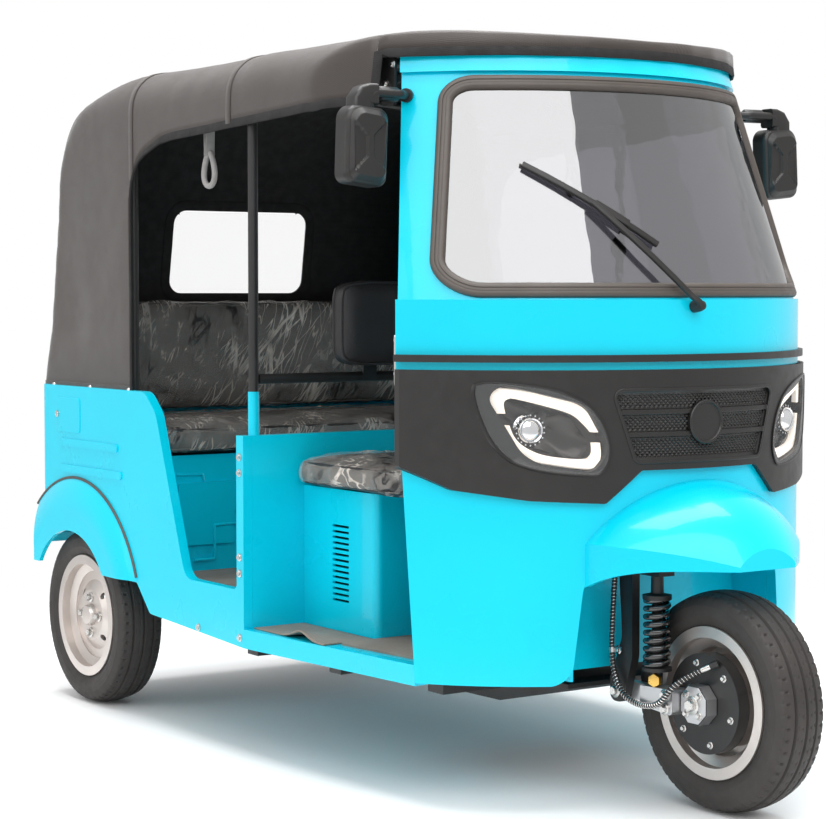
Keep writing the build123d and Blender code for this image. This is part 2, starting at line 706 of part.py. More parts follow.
def canopy_rear(shell):
    return shell & block((-WIDE, WIDE), (QUARTER_Y, TALL), (0, TALL))


def hoop(y, foot, drop):
    """Bent tube from one side over the top to the other."""
    bow = [(-POLE_X, HOOP_Z), (-POLE_X + 86, ROOF_Z - 66 - drop), (0, ROOF_Z - 34 - drop)]
    points = [(-POLE_X, y, foot), *[(u, y, v) for u, v in bow]]
    points += [(-u, y, v) for u, y, v in reversed(points[:-1])]
    return tube(points, 60, POLE_R)


def canopy_frame():
    """Two hoops, the side rails between them and ahead of them, and the seat's crossbar."""
    rear_y = QUARTER_Y + 30
    parts = [hoop(POLE_Y, POLE_Z + GAP, 0), hoop(rear_y, BELT_Z - 60, 38)]
    reach = POLE_R + GAP
    ahead = tube([(-HEAD.half + 49, HEAD.edge + 24, HEAD_Z - 20), (-HEAD.half - 51, HEAD.edge + 104, RAIL_TOP),
                  (-POLE_X, HEAD.edge + 244, RAIL_TOP), (-POLE_X, POLE_Y - reach, RAIL_TOP)], 40, POLE_R)
    behind = rod((-POLE_X, POLE_Y + reach, RAIL_TOP), (-POLE_X, rear_y - reach, RAIL_TOP), POLE_R)
    parts += both_sides(ahead) + both_sides(behind)
    bar = rod((-POLE_X + reach, POLE_Y, CROSSBAR_Z), (POLE_X - reach, POLE_Y, CROSSBAR_Z), POLE_R)
    for x in (-250, 250):
        bar += block((x - 20, x + 20), (POLE_Y - POLE_R, POLE_Y - POLE_R + 6), (CROSSBAR_Z - 6, CROSSBAR_Z + 178))
    return parts + [bar]


Louvre = namedtuple("Louvre", "count start end low pitch height")
LOUVRE = Louvre(count=14, start=120.0, end=193.0, low=75.0, pitch=14.0, height=6.0)


def driver_seat_box():
    """Open-bottomed box with a bank of louvres in each end."""
    back = PARTITION_Y - GAP
    box = block((-BENCH_X, BENCH_X), (BENCH_Y, back), (FLOOR_Z + GAP, BENCH_Z))
    box = fillet(box.edges().filter_by(Axis.Z).group_by(Axis.Y)[0], 20)
    box -= block((-BENCH_X + SHEET, BENCH_X - SHEET), (BENCH_Y + SHEET, back - SHEET),
                 (FLOOR_Z - 1, BENCH_Z - SHEET))
    for index in range(LOUVRE.count):
        z = FLOOR_Z + LOUVRE.low + LOUVRE.pitch * index
        box -= block((-WIDE, WIDE), (BENCH_Y + LOUVRE.start, BENCH_Y + LOUVRE.end), (z, z + LOUVRE.height))
    return box


def battery_pack():
    inset = SHEET + 32
    return block((-BENCH_X + inset, BENCH_X - inset), (BENCH_Y + inset, PARTITION_Y - inset),
                 (FLOOR_Z + GAP, FLOOR_Z + 240))


def cushion(x, y, z, radius):
    solid = block((-x, x), y, z)
    return fillet(solid.edges(), radius)


def driver_cushion():
    return cushion(HALF_W - 112, (BENCH_Y - BENCH_LAP, PARTITION_Y - 6),
                   (BENCH_Z + GAP, BENCH_Z + CUSHION_T), 22)


def driver_backrest():
    low = CROSSBAR_Z + 14
    high, back = low + BACKREST_H, POLE_Y - POLE_R - GAP
    face = outline([(-BACKREST_X, low, 40), (BACKREST_X, low, 40), (BACKREST_X, high, 70),
                    (-BACKREST_X, high, 70)])
    return fillet(from_front(face, (back - 64, back)).edges().group_by(Axis.Y)[0], 18)


def passenger_seat_base():
    """Pressed front panel and seat deck of the rear bench."""
    edge = HALF_W - WALL - GAP
    base = block((-edge, edge), (SEAT_Y, SEAT_Y + 20), (CABIN_Z + GAP, SEAT_Z))
    base += block((-edge, edge), (SEAT_Y, BACK_Y - CORNER_R - 20), (SEAT_Z - 15, SEAT_Z))
    out, low = -HALF_W + 125, CABIN_Z + 75
    step = outline([(out, low, 6), (out + 170, low, 6), (out + 170, low + 90, 6), (out + 290, low + 90, 6),
                    (out + 290, low + 170, 6), (out, low + 170, 6)])
    for relief in both_sides(from_front(step, (SEAT_Y - 8, SEAT_Y + 1))):
        base += relief
    return base


def passenger_cushion():
    return cushion(HALF_W - WALL - 25, (SEAT_Y - 40, BACK_Y - 110),
                   (SEAT_Z + GAP, SEAT_Z + CUSHION_T + 12), 24)


def passenger_backrest():
    low, back = SEAT_Z + CUSHION_T + 12 + GAP, BACK_Y - WALL - 12
    high, wide = low + SEAT_BACK_H, HALF_W - WALL - 25
    face = outline([(back - 130, low, 20), (back - 34, low, 20), (back - 30, high, 24), (back - 112, high, 30)])
    return from_side(face, (-wide, wide))


# Corners of a mirror beyond the pillar's head, above the arm, with corner radii
MIRROR = [
    Corner(out=202.0, up=-202.0, radius=24.0),
    Corner(out=90.0, up=-214.0, radius=24.0),
    Corner(out=82.0, up=-36.0, radius=30.0),
    Corner(out=196.0, up=-24.0, radius=36.0),
]
MIRROR_T = 48.0
MIRROR_BOSS = 16.0


def mirrors():
    """Mirror shells on bent arms that stand on the pillars."""
    middle = HEAD.edge - 52
    face = outline([(-HEAD.half - c.out, MIRROR_Z + c.up, c.radius) for c in MIRROR])
    shell = from_front(face, (middle - MIRROR_T / 2, middle + MIRROR_T / 2))
    shell = fillet(shell.edges().group_by(Axis.Y)[0], 14)
    bow, low = bow_of(level_at(MIRROR_Z)), bow_of(level_at(MIRROR_Z - MIRROR_BOSS))
    turn = bow.angle - math.radians(1.5)
    shift = bow.centre - low.centre
    seat = shift * math.cos(turn) + math.sqrt(low.radius ** 2 - (shift * math.sin(turn)) ** 2) + GAP
    foot = [(-r * math.sin(turn), bow.centre - r * math.cos(turn), MIRROR_Z)
            for r in (seat, seat + 8, seat + 40)]
    arm = tube([foot[0], foot[2], (-HEAD.half - 127, foot[2][1] - 4, MIRROR_Z),
                (-HEAD.half - 131, middle, MIRROR_Z - 80)], 18, 10)
    return both_sides(shell + arm + rod(foot[0], foot[1], MIRROR_BOSS))


def pillar_brackets():
    """Bolted hinge plates on the rear edges of the front shell."""
    bow = bow_of(NOSE)
    turn = (math.sin(bow.angle), math.cos(bow.angle))
    plane = Plane(origin=(-NOSE_X, EDGE_Y, SEAM_Z), x_dir=(turn[0], turn[1], 0), z_dir=(-turn[1], turn[0], 0))
    face = plane.offset(GAP) * Pos(NOSE_WALL / 2, 5) * RectangleRounded(NOSE_WALL - 4, 112, 5)
    return both_sides(extrude(face, 4))


# Wiper points: place along X, height above the screen's foot, distance in front of the panel
Spot = namedtuple("Spot", "x up out")
WIPER_ARM = [Spot(x=-26.0, up=-16.0, out=30.0), Spot(x=-140.0, up=108.0, out=30.0), Spot(x=-232.0, up=214.0, out=24.0)]
WIPER_BLADE = [Spot(x=-348.0, up=299.0, out=13.0), Spot(x=-226.0, up=213.0, out=15.0), Spot(x=-94.0, up=121.0, out=13.0)]


def screen_point(spot):
    """Point in front of the windscreen panel."""
    z = SCREEN_Z + spot.up
    bow = bow_of(level_at(z))
    return (spot.x, bow.centre - math.sqrt((bow.radius + spot.out) ** 2 - spot.x ** 2), z)


def wiper():
    """Arm from a pivot below the screen to the middle of a blade, each in two straight runs."""
    foot, z = WIPER_ARM[0].x, SCREEN_Z + WIPER_ARM[0].up
    wiper = rod((foot, nose_y(foot) - GAP, z), (foot, nose_y(foot) - 40, z), 12)
    for spots, radius in ((WIPER_ARM, 5), (WIPER_BLADE, 6)):
        points = [screen_point(spot) for spot in spots]
        for start, end in zip(points, points[1:]):
            wiper += rod(start, end, radius)
        wiper += Pos(*points[1]) * Sphere(radius)
    return wiper


def tail_lamps():
    z = (BELT_Z - 253, BELT_Z - 103)
    return both_sides(block((-HALF_W + 125, -HALF_W + 205), (BACK_Y + GAP, BACK_Y + 12), z))


def rear_bumper():
    """Channel across the rails' ends with a slot for the tow plate."""
    wide, low, top = TRACK_X - TYRE_W / 2 - 22, HIGH_RAIL_Z - 27, HIGH_RAIL_Z + 41
    channel = block((-wide, wide), (BACK_Y - 40, BACK_Y + 12), (low, top))
    channel -= block((-wide + 10, wide - 10), (BACK_Y - 41, BACK_Y + 2), (low + 10, top + 1))
    return channel - block((-37, 37), (BACK_Y - 60, BACK_Y + 8), (low - 10, low + 45))


def rear_axle():
    """Axle tube with brake plates, spindles and a round drive housing."""
    axle = rod((-TRACK_X + 81, REAR_Y, AXLE_Z), (TRACK_X - 81, REAR_Y, AXLE_Z), 30)
    for x in (-1, 1):
        axle += rod((x * (TRACK_X - 83), REAR_Y, AXLE_Z), (x * (TRACK_X - 61), REAR_Y, AXLE_Z), 108)
        axle += rod((x * (TRACK_X - 63), REAR_Y, AXLE_Z), (x * (TRACK_X + 13), REAR_Y, AXLE_Z), SPINDLE_R)
    axle += rod((-70, REAR_Y, AXLE_Z), (90, REAR_Y, AXLE_Z), 84)
    return axle + rod((10, REAR_Y, AXLE_Z), (10, REAR_Y - 300, AXLE_Z + 6), 70)


def leaf_springs():
    """Curved spring packs from hanger to hanger, thickest over the axle."""
    eye, seat, thick = HIGH_RAIL_Z + 18 - GAP, AXLE_Z + 30 + GAP, 14
    ends = (REAR_Y - 290, REAR_Y + 210)
    low = ThreePointArc((ends[0], eye - thick), (REAR_Y - 10, seat), (ends[1], eye - thick))
    top = ThreePointArc((ends[1], eye), (REAR_Y - 10, seat + 22), (ends[0], eye))
    face = make_face([low, Line(low @ 1, top @ 0), top, Line(top @ 1, low @ 0)])
    return both_sides(from_side(face, (-RAIL_X - 95, -RAIL_X - 45)))


def grab_straps():
    y = (POLE_Y + QUARTER_Y) / 2 - 88
    strap = block((-POLE_X - 15, -POLE_X + 15), (y, y + 6), (RAIL_TOP - 184, RAIL_TOP - POLE_R - GAP))
    return both_sides(strap)


def tyre(place):
    half, bead, shoulder = TYRE_W / 2, TYRE_W / 2 - 15, AXLE_Z - 11
    foot, bulge = FLANGE_R + 2, (FLANGE_R + 2 + shoulder) / 2 + 2
    edges = [Line((-bead, SEAT_R + GAP), (bead, SEAT_R + GAP)), Line((bead, SEAT_R + GAP), (bead, foot)),
             ThreePointArc((bead, foot), (half, bulge), (half - 12, shoulder)),
             ThreePointArc((half - 12, shoulder), (0, AXLE_Z), (-half + 12, shoulder)),
             ThreePointArc((-half + 12, shoulder), (-half, bulge), (-bead, foot)),
             Line((-bead, foot), (-bead, SEAT_R + GAP))]
    return spun(make_face(edges), place)


def rim(place, out):
    """Pressed wheel with a drop centre, a raised hat, vents and a drum; `out` is its open face's side."""
    def ring(points):
        return spun(outline([(out * x, r, 0) for x, r in points]), place)

    bead, sheet, bore = TYRE_W / 2 - 14, 6, SPINDLE_R + GAP
    edge, well = bead + 5, SEAT_R - 23
    seat = SEAT_R - sheet
    half = [(edge, seat), (edge, FLANGE_R), (bead, FLANGE_R), (bead, SEAT_R), (34, SEAT_R), (24, well)]
    back = [(27, well - sheet), (37, seat)]
    wheel = ring(half + [(-x, r) for x, r in reversed(half)] + [(-x, r) for x, r in reversed(back)] + back)
    hat = [(14, well - 3), (24, well - 3), (24, 98), (40, 70), (40, bore), (-30, bore), (-30, 34), (30, 34),
           (30, 66), (14, 94)]
    wheel += ring(hat) + ring([(-34, 95), (15, 95), (15, 103), (-34, 103)])
    for index in range(4):
        turn = math.radians(45 + 90 * index)
        y, z = place[1] + 83 * math.cos(turn), place[2] + 83 * math.sin(turn)
        wheel -= rod((place[0] + out * 12, y, z), (place[0] + out * 50, y, z), 9)
    return wheel


def steering_fork():
    """Raked stem, a yoke over the tyre and one leg down to the arm's pivot."""
    foot = steer_point(YOKE_Z + 23)
    yoke_z, top = (YOKE_Z, YOKE_Z + YOKE_H), YOKE_Z + YOKE_H
    fork = rod(foot, steer_point(STEM_TOP), STEM_R)
    fork += block((ARM_X - 21, STEM_R + 8), (foot[1] - 30, foot[1] + 34), yoke_z)
    fork += block((ARM_X - 21, ARM_X + 25), (SHOCK_Y - 26, ARM_Y - 5), yoke_z)
    leg = outline([(ARM_Y - 55, top, 0), (ARM_Y - 5, top, 0), (ARM_Y - 20, AXLE_Z + 125, 60),
                   (ARM_Y + 22, AXLE_Z + 28, 30), (ARM_Y + 22, AXLE_Z - 25, 20),
                   (ARM_Y - 24, AXLE_Z - 25, 20), (ARM_Y - 55, AXLE_Z + 83, 60)])
    return fork + from_side(leg, (ARM_X - 21, ARM_X + 1))


def swing_arm():
    end, elbow = FRONT_Y + HUB_R + GAP, FRONT_Y + 152
    neck = outline([(ARM_Y + 18, AXLE_Z - 15, 14), (ARM_Y + 18, AXLE_Z + 23, 14), (elbow - 42, AXLE_Z + 21, 0),
                    (elbow - 42, AXLE_Z - 21, 0)])
    palm = outline([(elbow, AXLE_Z - 19, 0), (elbow, AXLE_Z + 25, 0), (end, AXLE_Z + 29, 10),
                    (end, AXLE_Z - 29, 10)])
    return from_side(neck, (ARM_X + 1 + GAP, ARM_X + 21)) + from_side(palm, (ARM_X - 25, ARM_X + 21))


def shock_absorber():
    """Damper with spring seats and a coil, drawn as rings along its length."""
    foot, top, x = AXLE_Z + 29, YOKE_Z - GAP, ARM_X - 3
    low, high = foot + 40, top - 48
    pitch = (high - low) / COILS
    spring = [(0, foot, 0), (13, foot, 0), (13, low - 12, 0), (25, low - 12, 0), (25, low, 0)]
    for index in range(COILS):
        z = low + pitch * index
        spring += [(16, z + 0.1 * pitch, 0), (24, z + 0.35 * pitch, 0), (24, z + 0.65 * pitch, 0),
                   (16, z + 0.9 * pitch, 0)]
    spring += [(25, high, 0), (25, high + 10, 0), (13, high + 10, 0), (13, top, 0), (0, top, 0)]
    face = Plane(origin=(x, SHOCK_Y, 0), x_dir=(1, 0, 0), z_dir=(0, -1, 0)) * outline(spring)
    return revolve(face, Axis((x, SHOCK_Y, 0), (0, 0, 1)), 360)


def front_hub():
    """Brake plate, eight-sided cast cover and the wheel's spindle."""
    hub = rod((-74, FRONT_Y, AXLE_Z), (-42, FRONT_Y, AXLE_Z), BRAKE_R)
    cover = Pos(FRONT_Y, AXLE_Z) * RegularPolygon(HUB_R, 8, major_radius=False, rotation=22.5)
    hub += from_side(cover, (ARM_X - 1, -73))
    end, way = hose_end()
    seat = end + way * 12
    hub += rod(tuple(end + way * GAP), tuple(end + way * 20), HOSE_R + 2.5)
    hub += rod((seat.X - 2, seat.Y, seat.Z), (-73, seat.Y, seat.Z), HOSE_R + 1)
    return hub + rod((-60, FRONT_Y, AXLE_Z), (44, FRONT_Y, AXLE_Z), SPINDLE_R)


# Route of the brake hose down the fork's leg, under the arm and up to the brake plate
Knot = namedtuple("Knot", "x y z")
HOSE = [
    Knot(x=ARM_X - 34, y=ARM_Y - 12, z=YOKE_Z + 34),
    Knot(x=ARM_X - 34, y=ARM_Y - 2, z=AXLE_Z + 193),
    Knot(x=ARM_X - 34, y=ARM_Y + 3, z=AXLE_Z + 71),
    Knot(x=ARM_X - 36, y=ARM_Y - 30, z=AXLE_Z + 3),
    Knot(x=ARM_X - 37, y=ARM_Y - 90, z=AXLE_Z - 19),
    Knot(x=ARM_X - 40, y=FRONT_Y + 70, z=AXLE_Z - 9),
    Knot(x=ARM_X - 38, y=FRONT_Y + 30, z=AXLE_Z + 41),
    Knot(x=ARM_X - 1, y=FRONT_Y - 6, z=AXLE_Z + 73),
    Knot(x=ARM_X + 18, y=FRONT_Y - 34, z=AXLE_Z + 89),
]
HOSE_R = 6.0


def hose_end():
    """Last point of the hose's route and the way it points there."""
    end = Vector(*HOSE[-1])
    return end, (end - Vector(*HOSE[-2])).normalized()


def cord(points, radius):
    """Round cord along a route, its bends as large as the runs beside them allow."""
    route = [Vector(*point) for point in points]
    edges, last, bends = [], route[0], []
    for before, here, after in zip(route, route[1:], route[2:]):
        back, ahead = before - here, after - here
        step = 0.45 * min(back.length, ahead.length)
        back, ahead = back.normalized(), ahead.normalized()
        half = math.radians(back.get_angle(ahead)) / 2
        bend = step * math.tan(half)
        middle = here + (back + ahead).normalized() * (bend / math.sin(half) - bend)
        edges += [Line(last, here + back * step), ThreePointArc(here + back * step, middle, here + ahead * step)]
        last = here + ahead * step
        bends.append(round(bend))
    edges.append(Line(last, route[-1]))
    print("bend radii of the hose in mm:", bends)
    path = Wire(edges)
    return sweep(Plane(origin=path @ 0, z_dir=path % 0) * Circle(radius), path)


def brake_hose():
    return cord(HOSE, HOSE_R)


def handlebar():
    """Bar on the stem's head with two grips and a dash housing."""
    z = STEM_TOP + 45
    top = steer_point(z)
    right = [(-330, top[1] + 133, z - 13), (-210, top[1] + 93, z - 3), (-90, top[1], z)]
    bar = tube(right + [(-x, y, level) for x, y, level in reversed(right)], 40, 11)
    bar += rod(steer_point(STEM_TOP + GAP), top, STEM_R + 6)
    for x in (-1, 1):
        bar += rod((x * 330, top[1] + 133, z - 13), (x * 222, top[1] + 97, z - 4), 17)
    return bar + block((-80, 80), (top[1] - 40, top[1] + 40), (z - 12, z + 46))


# Wheels by name: place along X, place along Y and the side that the disc faces
Wheel = namedtuple("Wheel", "name x y out")
WHEELS = [
    Wheel("front", 0.0, FRONT_Y, 1),
    Wheel("rear_right", -TRACK_X, REAR_Y, -1),
    Wheel("rear_left", TRACK_X, REAR_Y, 1),
]


def make_parts():
    """Every node's shape by name; a list stands for solids that do not touch."""
    shell = canopy_shell()
    plain = [chassis_rails, cross_members, tow_bar, steering_head, floor_pan, floor_mats, sills,
             partition, cowl_lower, cowl_upper, cowl_trim, windscreen_glass, windscreen_seal,
             roof_visor, front_mask, front_grille, headlamps, front_fender, wheel_well, wiper,
             mirrors, pillar_brackets, side_panels, back_panel, rear_fenders, rear_window,
             canopy_frame, driver_seat_box, battery_pack, driver_cushion, driver_backrest,
             passenger_seat_base, passenger_cushion, passenger_backrest, tail_lamps, rear_bumper,
             rear_axle, leaf_springs, grab_straps, steering_fork, swing_arm, shock_absorber,
             front_hub, brake_hose, handlebar]
    nodes = {make.__name__: make() for make in plain}
    nodes["canopy_roof"] = canopy_roof(shell)
    nodes["canopy_rear"] = canopy_rear(shell)
    for wheel in WHEELS:
        place = (wheel.x, wheel.y, AXLE_Z)
        nodes[wheel.name + "_tyre"] = tyre(place)
        nodes[wheel.name + "_rim"] = rim(place, wheel.out)
    return nodes


def main():
    os.makedirs("parts", exist_ok=True)
    for name, shape in make_parts().items():
        solids = shape if isinstance(shape, list) else [shape]
        body = Compound(children=[solid for piece in solids for solid in piece.solids()])
        export_step(body, f"parts/{name}.step")


if __name__ == "__main__":
    main()
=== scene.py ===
"""Looks of the auto rickshaw: finishes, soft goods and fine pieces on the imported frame, in metres."""

import logging
import math
from dataclasses import dataclass, field
from enum import Enum, auto
from typing import Iterable, Sequence

import bmesh
import bpy
import numpy as np
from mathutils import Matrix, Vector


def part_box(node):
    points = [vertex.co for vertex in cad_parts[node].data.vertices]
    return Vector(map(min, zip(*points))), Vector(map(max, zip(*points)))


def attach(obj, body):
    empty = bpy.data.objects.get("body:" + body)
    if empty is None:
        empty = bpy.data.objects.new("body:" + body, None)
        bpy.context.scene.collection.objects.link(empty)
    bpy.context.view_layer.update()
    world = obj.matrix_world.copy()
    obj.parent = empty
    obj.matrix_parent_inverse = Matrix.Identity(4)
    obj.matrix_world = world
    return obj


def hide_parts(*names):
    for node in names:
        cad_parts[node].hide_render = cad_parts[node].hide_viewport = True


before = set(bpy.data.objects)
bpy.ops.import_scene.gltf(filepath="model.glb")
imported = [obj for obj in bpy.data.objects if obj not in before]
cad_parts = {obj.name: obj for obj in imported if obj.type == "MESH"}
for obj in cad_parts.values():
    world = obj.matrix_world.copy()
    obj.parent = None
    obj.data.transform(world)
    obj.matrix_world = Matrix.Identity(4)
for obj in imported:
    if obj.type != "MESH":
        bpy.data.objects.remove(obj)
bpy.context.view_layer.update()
LOG = logging.getLogger("rickshaw")

Array = np.ndarray
Colour = tuple[float, float, float]
Point = tuple[float, float, float]
Piece = bpy.types.Object
Socket = bpy.types.NodeSocket
TURN = 2 * math.pi
FRONT_AXLE = (0, -1.0, 0.247)
RIGHT_AXLE = (-0.543, 1.0, 0.247)
LEFT_AXLE = (0.543, 1.0, 0.247)
SIDES = (("right", -1), ("left", 1))


class Body(Enum):
    """Moving bodies of the frame."""
    BODY = "body"
    STEERING = "steering"
    FRONT_WHEEL = "front_wheel"
    RIGHT_WHEEL = "rear_wheel_right"
    LEFT_WHEEL = "rear_wheel_left"


class Pattern(Enum):
    """Fine relief that a finish carries."""
    PEEL = auto()
    GRAIN = auto()
    WEAVE = auto()
    BRUSHED = auto()
    CAST = auto()
    RIBS = auto()
    CRINKLE = auto()


def srgb(red: int, green: int, blue: int) -> Colour:
    """Linear colour from eight-bit screen values."""
    parts = [value / 255 for value in (red, green, blue)]
    return tuple(v / 12.92 if v < 0.04045 else ((v + 0.055) / 1.055) ** 2.4 for v in parts)


class Graph:
    """Small builder of one material's nodes."""

    def __init__(self, name: str) -> None:
        """Starts a material with a plain shader.

        Args:
            name: The material's name.
        """
        self.material = bpy.data.materials.new(name)
        self.material.use_nodes = True
        self.tree = self.material.node_tree
        self.shader = self.tree.nodes["Principled BSDF"]
        self.place = self.add("ShaderNodeTexCoord").outputs["Object"]

    def add(self, kind: str, inputs: dict | None = None, **settings: object) -> bpy.types.Node:
        """Adds a node.

        Args:
            kind: Blender's name of the node type.
            inputs: Values or sockets by input name or index.
            settings: Properties of the node.

        Returns:
            The new node.
        """
        node = self.tree.nodes.new(kind)
        for key, value in settings.items():
            setattr(node, key, value)
        for key, value in (inputs or {}).items():
            self.plug(node.inputs[key], value)
        return node

    def plug(self, socket: Socket, value: object) -> None:
        """Links a socket to another, or sets its value.

        Args:
            socket: The input.
            value: An output to link, or a plain value.
        """
        if isinstance(value, Socket):
            self.tree.links.new(value, socket)
        else:
            socket.default_value = value

    def stretched(self, scale: Sequence[float]) -> Socket:
        """Object coordinates scaled along each axis."""
        return self.add("ShaderNodeMapping", {"Vector": self.place, "Scale": scale}).outputs[0]

    def noise(self, pitch: float, detail: float = 4.0, scale: Sequence[float] = (1, 1, 1)) -> Socket:
        """Cloudy noise with features of about `pitch` metres."""
        inputs = {"Vector": self.stretched(scale), "Scale": 1 / pitch, "Detail": detail}
        return self.add("ShaderNodeTexNoise", inputs).outputs["Fac"]

    def wave(self, pitch: float, axis: str) -> Socket:
        """Parallel ridges every `pitch` metres along an axis."""
        inputs = {"Vector": self.place, "Scale": TURN / (20 * pitch)}
        return self.add("ShaderNodeTexWave", inputs, bands_direction=axis).outputs["Fac"]

    def cells(self, pitch: float) -> Socket:
        """Distance to the nearest of many scattered points."""
        return self.add("ShaderNodeTexVoronoi", {"Vector": self.place, "Scale": 1 / pitch}).outputs["Distance"]

    def math(self, kind: str, first: object, second: object) -> Socket:
        """Arithmetic on two values."""
        return self.add("ShaderNodeMath", {0: first, 1: second}, operation=kind).outputs[0]

    def ramp(self, factor: Socket, stops: Sequence[tuple[float, Colour]]) -> Socket:
        """Colours along a factor.

        Args:
            factor: Value from 0 to 1.
            stops: Positions with their colours.

        Returns:
            The colour.
        """
        node = self.add("ShaderNodeValToRGB", {"Fac": factor})
        elements = node.color_ramp.elements
        while len(elements) < len(stops):
            elements.new(0.5)
        for element, (position, colour) in zip(elements, stops):
            element.position = position
            element.color = (*colour, 1)
        return node.outputs["Color"]

    def span(self, factor: Socket, low: float, high: float) -> Socket:
        """Factor from 0.3 to 0.7 carried to a range."""
        return self.carried(factor, (0.3, 0.7), (low, high))

    def carried(self, value: Socket, source: Sequence[float],
                target: Sequence[float]) -> Socket:
        """Value carried from one range to another and kept within it."""
        ends = dict(zip(("From Min", "From Max", "To Min", "To Max"), (*source, *target)))
        return self.add("ShaderNodeMapRange", {"Value": value, **ends}).outputs["Result"]

    def bump(self, height: Socket, depth: float) -> None:
        """Relief of `depth` metres on the shader."""
        node = self.add("ShaderNodeBump", {"Height": height, "Distance": depth, "Strength": 1.0})
        self.plug(self.shader.inputs["Normal"], node.outputs[0])


@dataclass(frozen=True)
class Finish:
    """One surface finish: its colour, gloss and fine relief."""
    name: str
    slot: str
    colour: Colour
    roughness: float = 0.5
    metallic: float = 0.0
    coat: float = 0.0
    specular: float = 0.5
    sheen: float = 0.0
    alpha: float = 1.0
    transmission: float = 0.0
    ior: float = 1.5
    glow: float = 0.0
    pattern: Pattern = Pattern.GRAIN
    pitch: float = 0.0015
    depth: float = 0.0001
    mottle: float = 0.08
    patch: float = 0.12
    # Strength of the painted highlights: pale streaks of opacity that stand in for glints on crinkled film.
    highlight_streaks: float = 0.0

    def material(self) -> bpy.types.Material:
        """The finish's material, built on first use."""
        return bpy.data.materials.get(self.name) or self._build()

    def _build(self) -> bpy.types.Material:
        """Builds the nodes: mottled colour, uneven gloss and the pattern's relief.

        Returns:
            The new material.
        """
        graph = Graph(self.name)
        shader = graph.shader.inputs
        clouds = graph.noise(self.patch, 5.0)
        dark = tuple(max(c * (1 - self.mottle), 0.0) for c in self.colour)
        pale = tuple(min(c * (1 + self.mottle), 1.0) for c in self.colour)
        graph.plug(shader["Base Color"], graph.ramp(clouds, [(0.3, dark), (0.7, pale)]))
        spread = 0.12 * self.roughness
        gloss = graph.noise(self.patch / 4, 3.0)
        graph.plug(shader["Roughness"], graph.span(gloss, self.roughness - spread, self.roughness + spread))
        values = {"Metallic": self.metallic, "Coat Weight": self.coat, "Coat Roughness": 0.04,
                  "Sheen Weight": self.sheen, "Sheen Roughness": 0.35, "Specular IOR Level": self.specular,
                  "Alpha": self.alpha, "Transmission Weight": self.transmission, "IOR": self.ior,
                  "Emission Strength": self.glow}
        for key, value in values.items():
            shader[key].default_value = value
        shader["Emission Color"].default_value = (*self.colour, 1)
        # Painted highlights: pale streaks of higher opacity, in place of light glinting on the film's crinkles.
        if self.highlight_streaks:
            graph.plug(shader["Alpha"], self._painted_highlights(graph))
        self._relief(graph)
        return graph.material

    def _painted_highlights(self, graph: Graph) -> Socket:
        """Painted highlights: opacity that rises along the thin creases of slanted, drawn-out noises, more in some
        patches, so that the pale film shows bright streaks in place of light glinting on its crinkles.

        Args:
            graph: The material's nodes.

        Returns:
            The opacity.
        """
        lines = []
        for pitch, lean in ((0.034, 0.75), (0.022, 0.4), (0.050, 0.05)):
            inputs = {"Vector": graph.place, "Rotation": (0.3, lean, 0.2), "Scale": (1, 4, 14)}
            slant = graph.add("ShaderNodeMapping", inputs, vector_type="TEXTURE").outputs[0]
            noise = graph.add("ShaderNodeTexNoise", {"Vector": slant, "Scale": 1 / pitch, "Detail": 2.0}).outputs["Fac"]
            crease = graph.math("ABSOLUTE", graph.math("SUBTRACT", noise, 0.5), 0.0)
            lines.append(graph.carried(crease, (0.0, 0.026), (self.highlight_streaks, 0.0)))
        line = graph.math("MAXIMUM", graph.math("MAXIMUM", lines[0], lines[1]), lines[2])
        patch = graph.span(graph.noise(0.16, 4.0), -0.9, 1.3)
        return graph.math("ADD", graph.math("MULTIPLY", line, patch), self.alpha)

    def _relief(self, graph: Graph) -> None:
        """Adds the pattern's bump: ridges, noise or cells, or sums and products of them.

        Args:
            graph: The material's nodes.
        """
        if self.pattern is Pattern.WEAVE:
            lengthwise, across = graph.wave(self.pitch, "Y"), graph.wave(self.pitch, "DIAGONAL")
            height = graph.math("ADD", graph.math("MULTIPLY", lengthwise, across), graph.noise(self.pitch * 30))
        elif self.pattern is Pattern.BRUSHED:
            height = graph.noise(self.pitch, 3.0, (1, 30, 30))
        elif self.pattern is Pattern.CAST:
            height = graph.math("ADD", graph.noise(self.pitch, 6.0), graph.cells(self.pitch * 2))
        elif self.pattern is Pattern.RIBS:
            height = graph.wave(self.pitch, "X")
        elif self.pattern is Pattern.CRINKLE:
            height = graph.math("ADD", graph.cells(self.pitch), graph.noise(self.pitch * 2, 6.0))
        else:
            height = graph.noise(self.pitch, 2.0 if self.pattern is Pattern.PEEL else 6.0)
        graph.bump(height, self.depth)


PAINT = Finish("gloss_cyan_paint", "body_paint", srgb(0, 204, 230), 0.30, coat=0.35, specular=0.2,
               pattern=Pattern.PEEL, pitch=0.006, depth=0.00004, mottle=0.03, patch=0.5)
CANOPY = Finish("coated_canopy_cloth", "canopy_vinyl", srgb(54, 46, 42), 0.5, sheen=0.35, pattern=Pattern.WEAVE,
                pitch=0.0022, depth=0.0003, mottle=0.10, patch=0.25)
LINING = Finish("canopy_lining", "canopy_vinyl", srgb(26, 24, 24), 0.8, pattern=Pattern.WEAVE, pitch=0.0025,
                depth=0.0003)
SEAL = Finish("seal_rubber", "seal", srgb(78, 71, 66), 0.55, depth=0.0002, mottle=0.12)
TRIM = Finish("satin_black_plastic", "black_trim", srgb(30, 28, 27), 0.42, pattern=Pattern.CAST, pitch=0.0012,
              depth=0.00006, mottle=0.10)
GLOSS = Finish("gloss_black_plastic", "black_trim", srgb(24, 22, 21), 0.35, pattern=Pattern.PEEL, pitch=0.006,
               depth=0.00002, mottle=0.05)
BLACK = Finish("chassis_black", "black_paint", srgb(30, 29, 29), 0.45, pattern=Pattern.PEEL, pitch=0.004,
               depth=0.00008, mottle=0.15)
